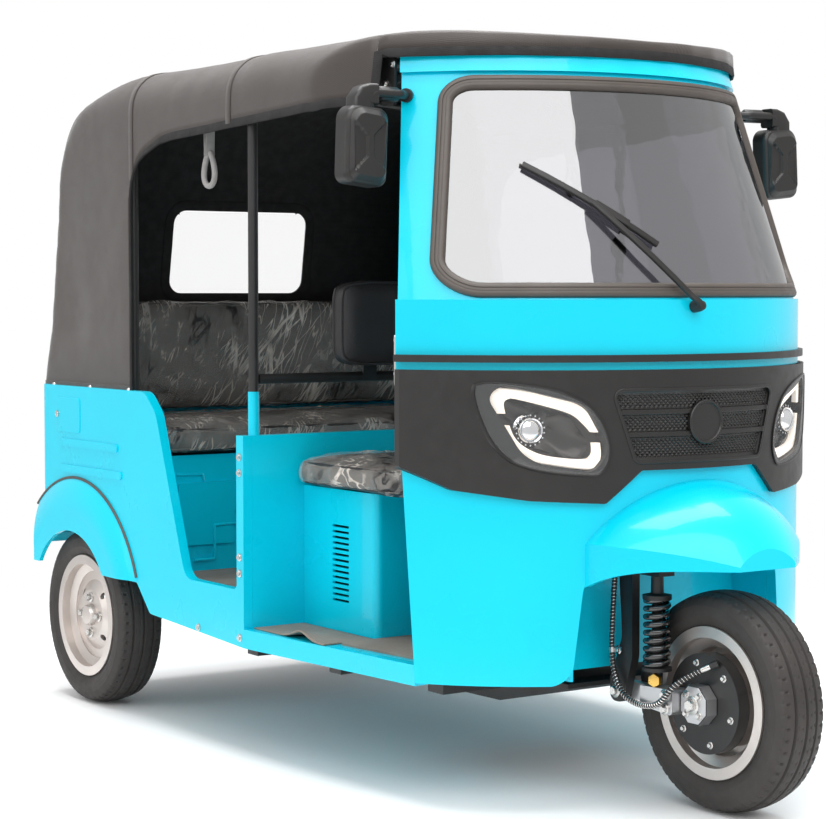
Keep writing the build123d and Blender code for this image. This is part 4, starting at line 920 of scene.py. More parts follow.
@dataclass
class Canopy:
    """Coated cloth over the hoops: one sheet from the brow over the roof and down the back and quarters."""
    hem_z: float = 0.880
    roof_z: float = 1.785
    half: float = 0.6358
    back: float = 1.2458
    quarter: float = 0.690
    brow_y: float = -0.3936
    brow_z: float = 1.702
    head_front: float = -0.692
    head_edge: float = -0.4236
    head_half: float = 0.4893
    corner: float = 0.0600
    thick: float = 0.003
    hoops: tuple[float, float] = (0.086, 0.720)
    power: float = 130.0
    sag: float = 0.007
    front_sag: float = 0.003
    slack: float = 0.004
    uneven: float = 0.0006
    waist: float = 0.010
    window: Point = (0.230, 1.153, 1.398)
    window_r: float = 0.055
    cut_r: float = 0.05
    cut_reach: float = 0.057
    border: float = 0.014
    across: int = 96
    along: int = 124

    def outlines(self) -> tuple[Array, Array, Array]:
        """Three convex outlines of the cloth, made of arcs through measured points.

        Returns:
            Side profile (y, z), section (x, z) and plan (x, y).
        """
        back, top = self.back, self.roof_z
        tail = self._arc((back - 0.095, top - 0.330), (back - 0.160, top - 0.196), (back - 0.274, top - 0.110))
        roof = self._arc((back - 0.274, top - 0.110), (0.6374, top - 0.0235), (0.300, top + 0.002))
        brow = self._arc((0.300, top + 0.002), (-0.196, top - 0.012), (self.head_front, top - 0.048))
        ends = np.array([(-0.802, top - 0.062), (-0.802, 0.5), (back, 0.5), (back, self.hem_z + 0.020)])
        profile = np.concatenate([tail, roof[1:], brow[1:], ends])
        eave = self._arc((self.half - 0.022, top - 0.150), (self.half - 0.046, top - 0.076),
                         (self.half - 0.116, top - 0.038))
        crown = self._arc((self.half - 0.116, top - 0.038), (0, top + 0.004), (-self.half + 0.116, top - 0.038))
        left = eave[::-1] * (-1, 1)
        feet = np.array([(-self.half - 0.011, 0.5), (self.half + 0.011, 0.5)])
        section = np.concatenate([eave, crown[1:], left[1:], feet])
        ring = self.corner * spokes(np.linspace(0, math.pi / 2, 10))
        bend = ring + (self.half - self.corner, back - self.corner)
        wing = np.array([(self.half, self.head_edge + 0.224)])
        nose = self._arc((self.head_half + 0.060, self.head_edge + 0.054), (0, self.head_front - 0.018),
                         (-self.head_half - 0.060, self.head_edge + 0.054))
        plan = np.concatenate([wing, bend, (bend * (-1, 1))[::-1], wing * (-1, 1), nose[::-1]])
        return profile, section, plan

    @staticmethod
    def _arc(first: Sequence[float], middle: Sequence[float], last: Sequence[float], count: int = 14) -> Array:
        """Points of the circle through three points.

        Args:
            first: Start.
            middle: A point on the way.
            last: End.
            count: Number of points.

        Returns:
            The points, from the first to the last.
        """
        a, b, c = (np.asarray(p, float) for p in (first, middle, last))
        rows = 2 * np.array([b - a, c - a])
        centre = np.linalg.solve(rows, np.array([b @ b - a @ a, c @ c - a @ a]))
        start, end = a - centre, c - centre
        turn = math.atan2(start[0] * end[1] - start[1] * end[0], start @ end)
        angle = math.atan2(start[1], start[0]) + turn * np.linspace(0, 1, count)
        return centre + np.linalg.norm(start) * spokes(angle)

    @staticmethod
    def _reach(outline: Array, start: Array, way: Array) -> Array:
        """Length of rays from inside a convex outline: the least way to any of its edges' lines.

        Args:
            outline: The outline.
            start: The rays' starts.
            way: Their directions.

        Returns:
            The lengths.
        """
        edge = np.roll(outline, -1, 0) - outline
        keep = np.linalg.norm(edge, axis=1) > 1e-9
        edge, corner = edge[keep], outline[keep]
        normal = np.stack([edge[:, 1], -edge[:, 0]], -1)
        normal *= np.sign(np.sum(normal * (corner - outline.mean(0)), 1, keepdims=True))
        gap = np.sum(normal * corner, 1) - start @ normal.T
        speed = way @ normal.T
        return np.where(speed > 1e-9, gap / np.where(speed > 1e-9, speed, 1), 1e9).min(-1)

    def rays(self, start: Array, way: Array) -> Array:
        """Cloth points along rays: the three outlines' lengths, blended by a high power so that edges are soft.

        Args:
            start: The rays' starts.
            way: Their directions.

        Returns:
            The points.
        """
        profile, section, plan = self.outlines()
        start = np.broadcast_to(start, way.shape)
        lengths = np.stack([self._reach(profile, start[..., 1:], way[..., 1:]),
                            self._reach(section, start[..., ::2], way[..., ::2]),
                            self._reach(plan, start[..., :2], way[..., :2])])
        reach = ((1 / lengths) ** self.power).sum(0) ** (-1 / self.power)
        points = start + way * reach[..., None]
        return points + way * self._drape(points)[..., None]

    def _drape(self, points: Array) -> Array:
        """Sag between the hoops, a waist above the hem, slack by the corners and a faint unevenness.

        Args:
            points: Points of the taut cloth.

        Returns:
            Distance outwards at each point.
        """
        y, z = points[..., 1], points[..., 2]
        roof = np.clip((z - 1.60) / 0.12, 0, 1)
        between = np.sin(np.clip((y - self.hoops[0]) / (self.hoops[1] - self.hoops[0]), 0, 1) * math.pi)
        ahead = np.sin(np.clip((y + 0.43) / (self.hoops[0] + 0.43), 0, 1) * math.pi)
        sag = -self.sag * roof * between ** 0.8 - self.front_sag * roof * ahead
        rear = np.clip((y - 0.75) / 0.3, 0, 1)
        slack = -self.slack * rear * (0.5 + 0.5 * ripple(points, 0.35, 3)) - self.uneven * (1 + ripple(points, 0.11, 8))
        low = np.clip((z - self.hem_z - 0.02) / 0.15, 0, 1)
        waist = -self.waist * rear * low * np.clip((1.62 - z) / 0.25, 0, 1)
        return sag + slack * low + waist

    def edge_z(self, y: Array) -> Array:
        """Height of the valance's lower edge along the side opening, straight between measured points.

        Args:
            y: Places along the vehicle.

        Returns:
            The heights.
        """
        front = [(self.brow_y, self.brow_z), (self.brow_y + 0.004, 1.600), (-0.37, 1.597), (0.46, 1.562), (0.52, 1.556)]
        bend = [(0.603, 1.531), (0.632, 1.516), (0.652, 1.500), (0.670, 1.477), (0.682, 1.452), (0.690, 1.408)]
        return np.interp(y, *np.array(front + bend).T)

    def build(self) -> None:
        """Makes the sheet from three fans of rays, its binding, seam tape and snaps."""
        spread = np.linspace(-1, 1, self.across + 1)
        ease = (1 - np.cos(np.linspace(0, math.pi / 2, self.along))) * 0.4 + np.linspace(0, 1, self.along) * 0.6
        station = self.quarter + (self.brow_y - self.quarter) * ease
        roof = self._roof(station, spread)
        rear = self._rear()
        quarter = [rear[self.across // 2:, -1], rear[self.across // 2:, 0]]
        brow = self._brow(spread)
        sheet = solid("canopy_sheet", joined([lattice(roof), self._holed(rear), lattice(brow)]), CANOPY,
                      inside=(0, 0.3, 1.2), sharp=70)
        sheet.data.materials.append(LINING.material())
        thick = sheet.modifiers.new("thickness", "SOLIDIFY")
        thick.thickness, thick.offset, thick.material_offset = self.thick, -1.0, 1
        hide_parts("canopy_roof", "canopy_rear")
        rim = self._binding(roof, quarter, brow)
        hem = self._hem(rear[-1, ::-1])
        tape = self._tape(roof)
        self._border(rear)

    def _pane(self, grow: float) -> list[Point]:
        """Corners of the rear window's outline (x, z, radius), let out by `grow`."""
        wide, low, high = self.window
        return boxed(wide + grow, low - grow, high + grow, self.window_r, self.window_r)

    def _holed(self, rear: Array) -> Shell:
        """Back grid without the faces inside the rear window.

        Args:
            rear: The back grid.

        Returns:
            The shell.
        """
        shell = lattice(rear)
        middle = shell.points[shell.faces].mean(1)
        wide, low, high = self.window
        over = np.abs(middle[:, ::2] - (0, (low + high) / 2)) - (wide - self.cut_r, (high - low) / 2 - self.cut_r)
        inside = (np.linalg.norm(np.maximum(over, 0), axis=1) < self.cut_reach) & (middle[:, 1] > 1.0)
        return Shell(shell.points, shell.faces[~inside])

    def _border(self, rear: Array) -> Piece:
        """Bound border of the rear window: a strip swept along its outline, at the depth of the cloth near by.

        Args:
            rear: The back grid.

        Returns:
            The border.
        """
        line = rounded(self._pane(self.border), 8, 16)
        cloud = rear.reshape(-1, 3)
        cloud = cloud[cloud[:, 1] > 1.0]
        gap = ((line[:, None] - cloud[None, :, ::2]) ** 2).sum(-1)
        near = np.argsort(gap, 1)[:, :6]
        weight = 1 / (np.take_along_axis(gap, near, 1) + 1e-6)
        depth = (cloud[near, 1] * weight).sum(1) / weight.sum(1)
        section = rounded(boxed(0.015, -0.005, 0.0018, 0.002, 0.001), 3, 1)
        path = np.stack([line[:, 0], depth, line[:, 1]], -1)
        return solid("window_border", swept(path, section, np.array((0, 1.0, 0.17)), closed=True), LINING)

    def _roof(self, station: Array, spread: Array) -> Array:
        """Roof grid: upright planes along the length, rays from edge to edge in each.

        Args:
            station: The planes' places.
            spread: Shares of the angle, from -1 to 1.

        Returns:
            The grid.
        """
        edge = self.edge_z(station)
        start = np.stack([np.zeros_like(station), station, np.full_like(station, self.hem_z)], -1)
        tilt = np.arctan2(self._side(station), edge - self.hem_z)
        angle = tilt[:, None] * spread[None, :]
        way = np.stack([np.sin(angle), np.zeros_like(angle), np.cos(angle)], -1)
        return self.rays(start[:, None], way)

    def _side(self, station: Array) -> Array:
        """Half breadth of the cloth at the valance's edge: the plan's, kept within the section's.

        Args:
            station: Places along the vehicle.

        Returns:
            The half breadths.
        """
        plan = self.outlines()[2]
        start = np.stack([np.zeros_like(station), station], -1)
        return np.minimum(self._reach(plan, start, np.broadcast_to((1.0, 0.0), start.shape)), self.half - 0.020)

    def _rear(self) -> Array:
        """Back and quarters as one grid: rays from the middle of the opening's foot, by tilt and azimuth.

        Returns:
            The grid, with more columns at the corners.
        """
        start = np.array((0.0, self.quarter, self.hem_z))
        rise = float(self.edge_z(self.quarter)) - self.hem_z
        limit = math.atan2(float(self._side(np.array([self.quarter]))[0]), rise)
        down = np.concatenate([np.linspace(0, limit, self.across // 2 + 1), np.linspace(limit, math.pi / 2, 60)[1:]])
        corner, near = math.atan2(self.half, self.back - self.quarter), math.radians(9)
        side = np.concatenate([np.linspace(corner - near, corner + near, 26),
                               np.linspace(corner + near, math.pi / 2, 26)[1:]])
        turn = np.concatenate([-side[::-1], np.linspace(near - corner, corner - near, 64)[1:-1], side])
        way = np.stack([np.sin(down)[:, None] * np.sin(turn), np.sin(down)[:, None] * np.cos(turn),
                        np.cos(down)[:, None] + 0 * turn], -1)
        return self.rays(start, way)

    def _brow(self, spread: Array) -> Array:
        """Brow grid: upright half planes that swing from one side over the front to the other.

        Args:
            spread: Shares of the angle, from -1 to 1.

        Returns:
            The grid.
        """
        start = np.array((0.0, self.brow_y, self.hem_z))
        swing = np.linspace(-math.pi / 2, math.pi / 2, 73)
        flat = np.stack([np.sin(swing), -np.cos(swing)], -1)
        plan = self.outlines()[2]
        reach = np.minimum(self._reach(plan, np.broadcast_to(start[:2], flat.shape), flat), self.half)
        limit = np.arctan2(reach, self.brow_z - self.hem_z)
        limit[[0, -1]] = math.atan2(float(self._side(np.array([self.brow_y]))[0]), self.brow_z - self.hem_z)
        half = spread[self.across // 2:]
        angle = limit[:, None] * half[None, :]
        way = np.concatenate([np.sin(angle)[..., None] * flat[:, None], np.cos(angle)[..., None]], -1)
        return self.rays(start, way)

    def _binding(self, roof: Array, quarter: list[Array], brow: Array) -> Piece:
        """Bound edge round both side openings and the brow, a strip swept along the sheet's border.

        Args:
            roof: Roof grid.
            quarter: Edges of the back grid, right and left.
            brow: Brow grid.

        Returns:
            The binding.
        """
        right = np.concatenate([quarter[0][::-1], roof[1:, -1]])
        left = np.concatenate([quarter[1][::-1], roof[1:, 0]])
        path = thinned(np.concatenate([right, brow[::-1, -1][1:-1], left[::-1]]), 2e-3)
        outward = path - (0, 0.15, 1.25)
        outward[:, 2] *= 0.2
        section = rounded(boxed(0.011, -0.0045, 0.0015, 0.002, 0.002), 3, 1)
        return solid("canopy_binding", swept(path, section, outward), LINING)

    def _hem(self, path: Array) -> Piece:
        """Hem strip swept along the tub, with its press studs.

        Args:
            path: Lower edge of the back grid.

        Returns:
            The hem.
        """
        path = thinned(path, 2e-3) + (0, 0, 0.012)
        outward = path * (1, 1, 0) - (0, 0.75, 0)
        section = rounded(boxed(0.012, -0.001, 0.0018, 0.001, 0.001), 3, 1)
        hem = solid("canopy_hem", swept(path, section, outward), CANOPY)
        studs = []
        places = [(side * self.half, y) for side in (1, -1) for y in (0.702, 0.935, 1.172)]
        for place in places + [(x, self.back) for x in (-0.45, -0.15, 0.15, 0.45)]:
            near = np.clip(np.argmin(np.linalg.norm(path[:, :2] - place, axis=1)), 1, len(path) - 2)
            out = np.cross(path[near + 1] - path[near - 1], (0, 0, 1.0))
            out *= np.sign(out @ (path[near] - (0, 0.75, path[near, 2])))
            studs.append(dome(0.0075, 0.005).placed(facing(path[near] + out / np.linalg.norm(out) * 0.0018, out)))
        solid("canopy_studs", joined(studs), STEEL)
        return hem

    def _tape(self, roof: Array) -> Piece:
        """Two seam tapes swept across the roof from edge to edge, at the rear of the side opening and near its middle.

        Args:
            roof: Roof grid.

        Returns:
            The tapes.
        """
        section = rounded(boxed(0.011, 0.0, 0.0022, 0.0006, 0.0006), 3, 1)
        strips = []
        for row in (2, self.along // 2 + 8):
            line = roof[row]
            strips.append(swept(line, section, line - (0, line[0, 1], 1.0)))
        return solid("canopy_seams", joined(strips), CANOPY)


def curved(knots: Sequence[Sequence[float]], count: int, closed: bool = False) -> Array:
    """Points of a smooth curve through knots: cubic pieces whose slopes join a knot's two neighbours.

    Args:
        knots: The knots.
        count: Number of points.
        closed: Whether the curve runs back to its first knot.

    Returns:
        The points, evenly spread over the pieces.
    """
    line = np.asarray(knots, float)
    ends = (line[-1:], line[:2]) if closed else (line[:1], line[-1:])
    padded = np.concatenate([ends[0], line, ends[1]])
    place = np.linspace(0, len(line) - (not closed), count, endpoint=not closed)
    index = np.minimum(place.astype(int), len(padded) - 4)
    part = (place - index)[:, None]
    a, b, c, d = (padded[index + step] for step in range(4))
    square, cube = 2 * a - 5 * b + 4 * c - d, 3 * b - a - 3 * c + d
    return 0.5 * (2 * b + (c - a) * part + square * part ** 2 + cube * part ** 3)


@dataclass
class Headlamp:
    """A slanted lamp: flange, bowl, two light guides, a round lens and a clear cover.

    Places are (out, up) from its middle, in mm for the flange and guides and in metres for the opening's corners.
    """
    middle: tuple[float, float] = (0.362, 0.855)
    corners: tuple[Point, ...] = (
        (0.123, 0.083, 0.028), (0.085, 0.098, 0.024), (-0.070, 0.055, 0.062), (-0.122, -0.047, 0.048),
        (-0.085, -0.097, 0.030), (0.050, -0.072, 0.080))
    flange: tuple[tuple[float, float], ...] = (
        (138, 90), (131, 101), (94, 103), (4, 89), (-60, 62), (-93, 29), (-113, -12), (-119, -57), (-106, -90),
        (-81, -102), (4, -94), (63, -77), (93, -52), (114, -17), (130, 32), (138, 71))
    guides: tuple[tuple[tuple[tuple[float, float], ...], tuple[tuple[float, float], ...]], ...] = (
        (((101, 35), (106, 62), (106, 86), (88, 92), (-2, 77), (-61, 54), (-87, 33), (-103, -7)),
         ((77, 35), (80, 56), (74, 66), (57, 67), (-2, 50), (-51, 32), (-76, 10), (-90, -7))),
        (((92, 9), (85, -17), (68, -48), (44, -67), (-12, -80), (-80, -89), (-101, -78), (-106, -57), (-104, -30)),
         ((70, 9), (62, -15), (45, -37), (10, -56), (-45, -65), (-78, -66), (-88, -61), (-93, -50), (-92, -30))))
    count: int = 120

    def _reach(self, inset: float, flange: bool) -> Array:
        """Reach of the panel's opening, or of the flange that covers it, at even angles.

        Args:
            inset: Distance to draw it in.
            flange: Whether it is the flange's.

        Returns:
            The lengths.
        """
        turn = full_turn(self.count)
        reach = []
        for line in (rounded(self.corners, 10, 10), curved(self.flange, 240, closed=True) / 1000):
            angle, length = np.arctan2(line[:, 1], line[:, 0]) % TURN, np.linalg.norm(line, axis=1)
            order = np.argsort(angle)
            reach.append(np.interp(turn, angle[order], length[order], period=TURN))
        whole = np.maximum(reach[0] + 0.003, reach[1]) if flange else reach[0]
        return np.maximum(whole - inset, 0)

    def layers(self, rows: Sequence[tuple[float, float, bool]], side: float) -> Shell:
        """Shell over a stack of outlines, each laid on the nose.

        Args:
            rows: Outlines as (inset, out, flange).
            side: 1 for the vehicle's left, -1 for its right.

        Returns:
            The shell.
        """
        turn = full_turn(self.count)
        stack = []
        for inset, out, flange in rows:
            reach = self._reach(inset, flange)
            x, z = self.middle[0] + reach * np.cos(turn), self.middle[1] + reach * np.sin(turn)
            stack.append(NOSE.at(side * x, z, out))
        return lattice(np.stack(stack), wrap_v=True)

    def build(self, name: str, side: float) -> list[Piece]:
        """Makes one lamp from stacks of its outlines.

        Args:
            name: Prefix of its pieces' names.
            side: 1 for the vehicle's left lamp, -1 for the right.

        Returns:
            The lamp's pieces.
        """
        rim = [(-0.003, 0.0138, True), (-0.002, 0.0172, True), (0.001, 0.0176, True), (0.004, 0.0156, True),
               (0.002, 0.0150, False), (0.003, -0.004, False), (0.003, -0.040, False), (0.012, -0.046, False),
               (0.150, -0.046, False)]
        pieces = [solid(name + "_rim", self.layers(rim, side), GLOSS)]
        bowl = [(0.003, -0.002, False), (0.005, -0.009, False), (0.030, -0.011, False), (0.036, -0.024, False),
                (0.060, -0.034, False), (0.150, -0.036, False)]
        pieces.append(solid(name + "_bowl", self.layers(bowl, side), BOWL))
        stretches = [self._guide(outer, inner, side) for outer, inner in self.guides]
        pieces.append(solid(name + "_guides", joined(stretches), GUIDE))
        pieces += self._projector(name, side)
        cover = [(0.004, 0.0158, True), (0.020, 0.0172, True), (0.060, 0.0184, True), (0.150, 0.0190, True)]
        pieces.append(solid(name + "_cover", self.layers(cover, side), LENS, inside=(0, 0, 0.85)))
        return pieces

    def _guide(self, outer: Sequence[Sequence[float]], inner: Sequence[Sequence[float]], side: float) -> Shell:
        """Bar between two smooth curves, with slightly rounded edges and closed ends.

        Args:
            outer: Knots of the outer curve.
            inner: Knots of the inner curve.
            side: 1 for the vehicle's left, -1 for its right.

        Returns:
            The bar.
        """
        edges = [curved(line, 60) / 1000 for line in (outer, inner)]
        rows = []
        for share, out in ((0.0, -0.010), (0.0, 0.002), (0.1, 0.0045), (0.9, 0.0045), (1.0, 0.002), (1.0, -0.010)):
            flat = edges[0] + (edges[1] - edges[0]) * share + self.middle
            rows.append(NOSE.at(side * flat[:, 0], flat[:, 1], out))
        bar = np.stack(rows)
        ends = np.repeat(bar.mean(0, keepdims=True), len(bar), 0)
        return lattice(np.concatenate([ends[:, :1], bar, ends[:, -1:]], 1), wrap_u=True)

    def _projector(self, name: str, side: float) -> list[Piece]:
        """Chrome barrel with a finned collar and a round glass, all turned profiles.

        Args:
            name: Prefix of its pieces' names.
            side: 1 for the vehicle's left, -1 for its right.

        Returns:
            Barrel and glass.
        """
        x, z = side * (self.middle[0] + 0.018), self.middle[1] - 0.003
        foot = NOSE.at(x, z, -0.034)
        place = facing(foot, NOSE.normal(x, z) * (0.4, 1, 1))
        barrel = revolved([(0, 0.036), (0.006, 0.036), (0.010, 0.031), (0.020, 0.030), (0.026, 0.029), (0.028, 0.027),
                           (0.026, 0.024), (0.022, 0.024)], 40)
        fins = [revolved([(0.011, 0.0), (0.011, 0.0022), (0.022, 0.0022), (0.022, 0.0)], 6).placed(
            facing((0.0335 * math.cos(a), 0.0335 * math.sin(a), 0), (0, 0, 1))) for a in np.arange(18) * TURN / 18]
        turn = np.linspace(0, math.pi / 2, 9)
        glass = revolved(list(zip(0.021 + 0.013 * np.sin(turn), 0.0245 * np.cos(turn))), 40)
        return [solid(name + "_barrel", joined([barrel, *fins]).placed(place), CHROME),
                solid(name + "_lens", glass.placed(place), CHROME, inside=tuple(foot))]


@dataclass
class Grille:
    """Recessed panel with three hatched rows between two bars and a blank disc."""
    half_low: float = 0.1815
    half_top: float = 0.2355
    low: float = 0.7825
    high: float = 0.9375
    bars: tuple[float, float] = (0.841, 0.891)
    bar_h: float = 0.011
    pitch: float = 0.0115
    disc_z: float = 0.866
    disc_r: float = 0.050
    surround: float = 0.003
    surround_r: float = 0.018
    base: float = 0.0055
    bar_d: float = 0.0065
    hatch_d: float = 0.0045
    hatch_foot: float = 0.0035
    lip_d: float = 0.003

    def build(self) -> None:
        """Panel whose height above the nose is the sum of a frame, two bars and a diagonal hatch."""
        s, t = np.meshgrid(np.linspace(-1, 1, 361), np.linspace(0, 1, 131))
        z = self.low + (self.high - self.low) * t
        half = self.half_low + (self.half_top - self.half_low) * t
        x = s * half
        border = np.minimum(np.minimum(half - np.abs(x), z - self.low), self.high - z)
        bar = np.max([np.clip((self.bar_h / 2 + 0.0015 - np.abs(z - b)) / 0.0015, 0, 1) for b in self.bars], 0)
        gap = np.min([np.abs(z - b) for b in self.bars], 0) - self.bar_h / 2
        lip = np.clip((gap - 0.003) / 0.003, 0, 1) * np.clip((border - 0.006) / 0.003, 0, 1)
        weave = np.abs(np.sin((x + z) * math.pi / self.pitch)) * np.abs(np.sin((x - z) * math.pi / self.pitch))
        out = self.base + self.bar_d * bar + lip * (self.hatch_d * weave ** 0.6 - self.hatch_foot)
        out = out + self.lip_d * np.clip(1 - border / 0.005, 0, 1)
        panel = solid("grille_panel", lattice(NOSE.at(x, z, out)), TRIM, inside=(0, 0, 0.86), sharp=60)
        disc = revolved([(0, 0), (0, self.disc_r), (0.007, self.disc_r), (0.009, self.disc_r - 0.002),
                         (0.009, self.disc_r - 0.006), (0.006, self.disc_r - 0.008), (0.0068, 0.02), (0.007, 0)], 64)
        foot = NOSE.at(0.0, self.disc_z, 0.0085)
        boss = solid("grille_disc", disc.placed(facing(foot, (0, -1, 0))), TRIM)
        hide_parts("front_grille")
        boss.parent = panel
        low, high, radius = self.low - self.surround, self.high + self.surround, self.surround_r
        foot, head = self.half_low + self.surround, self.half_top + self.surround
        line = rounded([(-foot, low, radius), (foot, low, radius), (head, high, radius), (-head, high, radius)], 8, 30)
        path = NOSE.at(line[:, 0], line[:, 1], 0.0125)
        normal = NOSE.normal(line[:, 0], line[:, 1])
        solid("grille_surround", swept(path, rounded_section(0.008, 0.004, 0.002), normal, closed=True), TRIM)


@dataclass
class Windscreen:
    """Wide rubber seal round the windscreen with a filler bead."""
    foot_z: float = 1.143
    head_z: float = 1.646
    low: float = 0.5546
    top: float = 0.4530
    corner: float = 0.075
    width: float = 0.034

    def outline(self, inset: float) -> Array:
        """Screen outline, four rounded corners.

        Args:
            inset: Distance to draw it in.

        Returns:
            Points as (x, z).
        """
        low, top = self.low - inset, self.top - inset
        foot, head = self.foot_z + inset, self.head_z - inset
        radius = self.corner - inset
        return rounded([(-low, foot, radius), (low, foot, radius), (top, head, radius), (-top, head, radius)], 14, 40)

    def build(self) -> None:
        """Seal swept round the screen, with a raised filler strip along its middle."""
        line = self.outline(self.width / 2)
        normal = NOSE.normal(line[:, 0], line[:, 1])
        path = NOSE.at(line[:, 0], line[:, 1], 0.0)
        half = self.width / 2
        section = np.array([(-half, -0.004), (half, -0.004), (half, 0.004), (half - 0.003, 0.009),
                            (half - 0.008, 0.0115), (0.005, 0.0112), (0.004, 0.0092), (0.0, 0.0105),
                            (-0.004, 0.0092), (-0.005, 0.0112), (-half + 0.008, 0.0115), (-half + 0.003, 0.009),
                            (-half, 0.004)])
        seal = solid("windscreen_rubber", swept(path, section, normal, closed=True), SEAL)
        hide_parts("windscreen_seal")


@dataclass
class Wiper:
    """Arm and blade across the windscreen."""
    arm: tuple[Point, ...] = (
        (-0.026, 1.124, 0.026), (-0.140, 1.248, 0.028), (-0.232, 1.354, 0.022))
    blade: tuple[Point, ...] = (
        (-0.348, 1.439, 0.010), (-0.226, 1.353, 0.012), (-0.094, 1.261, 0.010))

    def build(self) -> None:
        """Tapered arm from the pivot's cap, a spine and a rubber lip that follow the glass, and a clip on the spine."""
        arm, spine, lip = (self._strip(self.arm, 0.0, 0.013, 0.009), self._strip(self.blade, 0.0, 0.014, 0.010),
                           self._strip(self.blade, -0.009, 0.003, 0.010))
        clip = self._strip([self.blade[1], tuple(np.mean(self.blade[1:], 0))], 0.008, 0.017, 0.008)
        x, z = self.arm[0][:2]
        cap = revolved([(0, 0), (0, 0.014), (0.020, 0.013), (0.030, 0.010), (0.034, 0)], 28)
        cap = cap.placed(facing(NOSE.at(x, z, 0.0), (0, -1, 0.1)))
        wiper = solid("wiper_arm", joined([arm, spine, cap, clip]), TRIM)
        rubber = solid("wiper_blade", lip, SEAL)
        rubber.parent = wiper
        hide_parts("wiper")

    @staticmethod
    def _strip(points: Sequence[Point], lift: float, width: float, height: float) -> Shell:
        """Strip swept along points on the glass.

        Args:
            points: Points as (x, z, out).
            lift: Distance added to their out.
            width: Breadth.
            height: Height.

        Returns:
            The strip.
        """
        knots = np.asarray(points, float)
        part = np.linspace(0, len(knots) - 1, 25)
        x, z, out = (np.interp(part, np.arange(len(knots)), knots[:, axis]) for axis in range(3))
        section = rounded_section(width, height, 0.3 * min(width, height))
        return swept(NOSE.at(x, z, out + lift), section, NOSE.normal(x, z))


@dataclass
class MirrorFace:
    """Crossed facets on a mirror's back, its glass towards the rear and the elbow that it hangs on."""
    corners: tuple[Point, ...] = (
        (0.683, 1.408, 0.020), (0.587, 1.396, 0.020), (0.579, 1.558, 0.026), (0.677, 1.570, 0.030))
    front: float = -0.4996
    rear: float = -0.4516

    def build(self, name: str, side: float) -> None:
        """Back whose height is a waisted raised band between two sunk fields, and a flat glass in a rim.

        Args:
            name: Prefix of its pieces' names.
            side: 1 for the vehicle's left, -1 for its right.
        """
        line = rounded(self.corners, 8, 12)
        middle, half = line.mean(0), np.ptp(line, axis=0) / 2
        keep = np.linspace(1, 0, 60)[:, None, None]
        flat = middle + (line - middle) * keep
        u, v = np.abs((flat - middle) / half).transpose(2, 0, 1)
        waist = 0.13 + 0.95 * np.clip((v - 0.28) / 0.55, 0, 1)
        sunk = np.clip((u - waist) / 0.09, 0, 1) * np.clip((0.86 - u) / 0.09, 0, 1)
        bevel = np.clip((1 - keep[..., 0]) / 0.16, 0, 1)
        depth = self.front - 0.012 * bevel + 0.006 * sunk
        points = np.stack([side * flat[..., 0], depth, flat[..., 1]], -1)
        solid(name + "_facets", lattice(points, wrap_v=True), TRIM, inside=(side * middle[0], -0.45, middle[1]),
              sharp=25)
        self._elbow(name, side)
        glass = [np.stack([side * (middle[0] + (line[:, 0] - middle[0]) * keep), np.full(len(line), self.rear + out),
                           middle[1] + (line[:, 1] - middle[1]) * keep], -1) for keep, out in
                 ((0.93, 0.0), (0.93, 0.002), (0.0, 0.002))]
        solid(name + "_glass", lattice(np.array(glass), wrap_v=True), MIRROR,
              inside=(side * middle[0], -0.48, middle[1]))

    def _elbow(self, name: str, side: float) -> None:
        """Moulded elbow swept over the arm's bend, and a turned barrel at its inner end.

        Args:
            name: Prefix of the piece's name.
            side: 1 for the vehicle's left, -1 for its right.
        """
        spine = np.array([(0.600, 1.598), (0.618, 1.598), (0.632, 1.594), (0.640, 1.584), (0.640, 1.566)])
        path = np.stack([side * spine[:, 0], np.full(5, self.front + 0.026), spine[:, 1]], -1)
        elbow = swept(path, rounded(boxed(0.024, -0.022, 0.022, 0.008, 0.008), 4, 2), np.array((0, -1.0, 0)))
        barrel = revolved([(0, 0), (0, 0.014), (0.004, 0.017), (0.052, 0.017), (0.056, 0.014), (0.056, 0)], 28)
        barrel = barrel.placed(facing((side * 0.530, -0.462, 1.602), (side, -0.15, 0)))
        solid(name + "_elbow", joined([elbow, barrel]), TRIM)


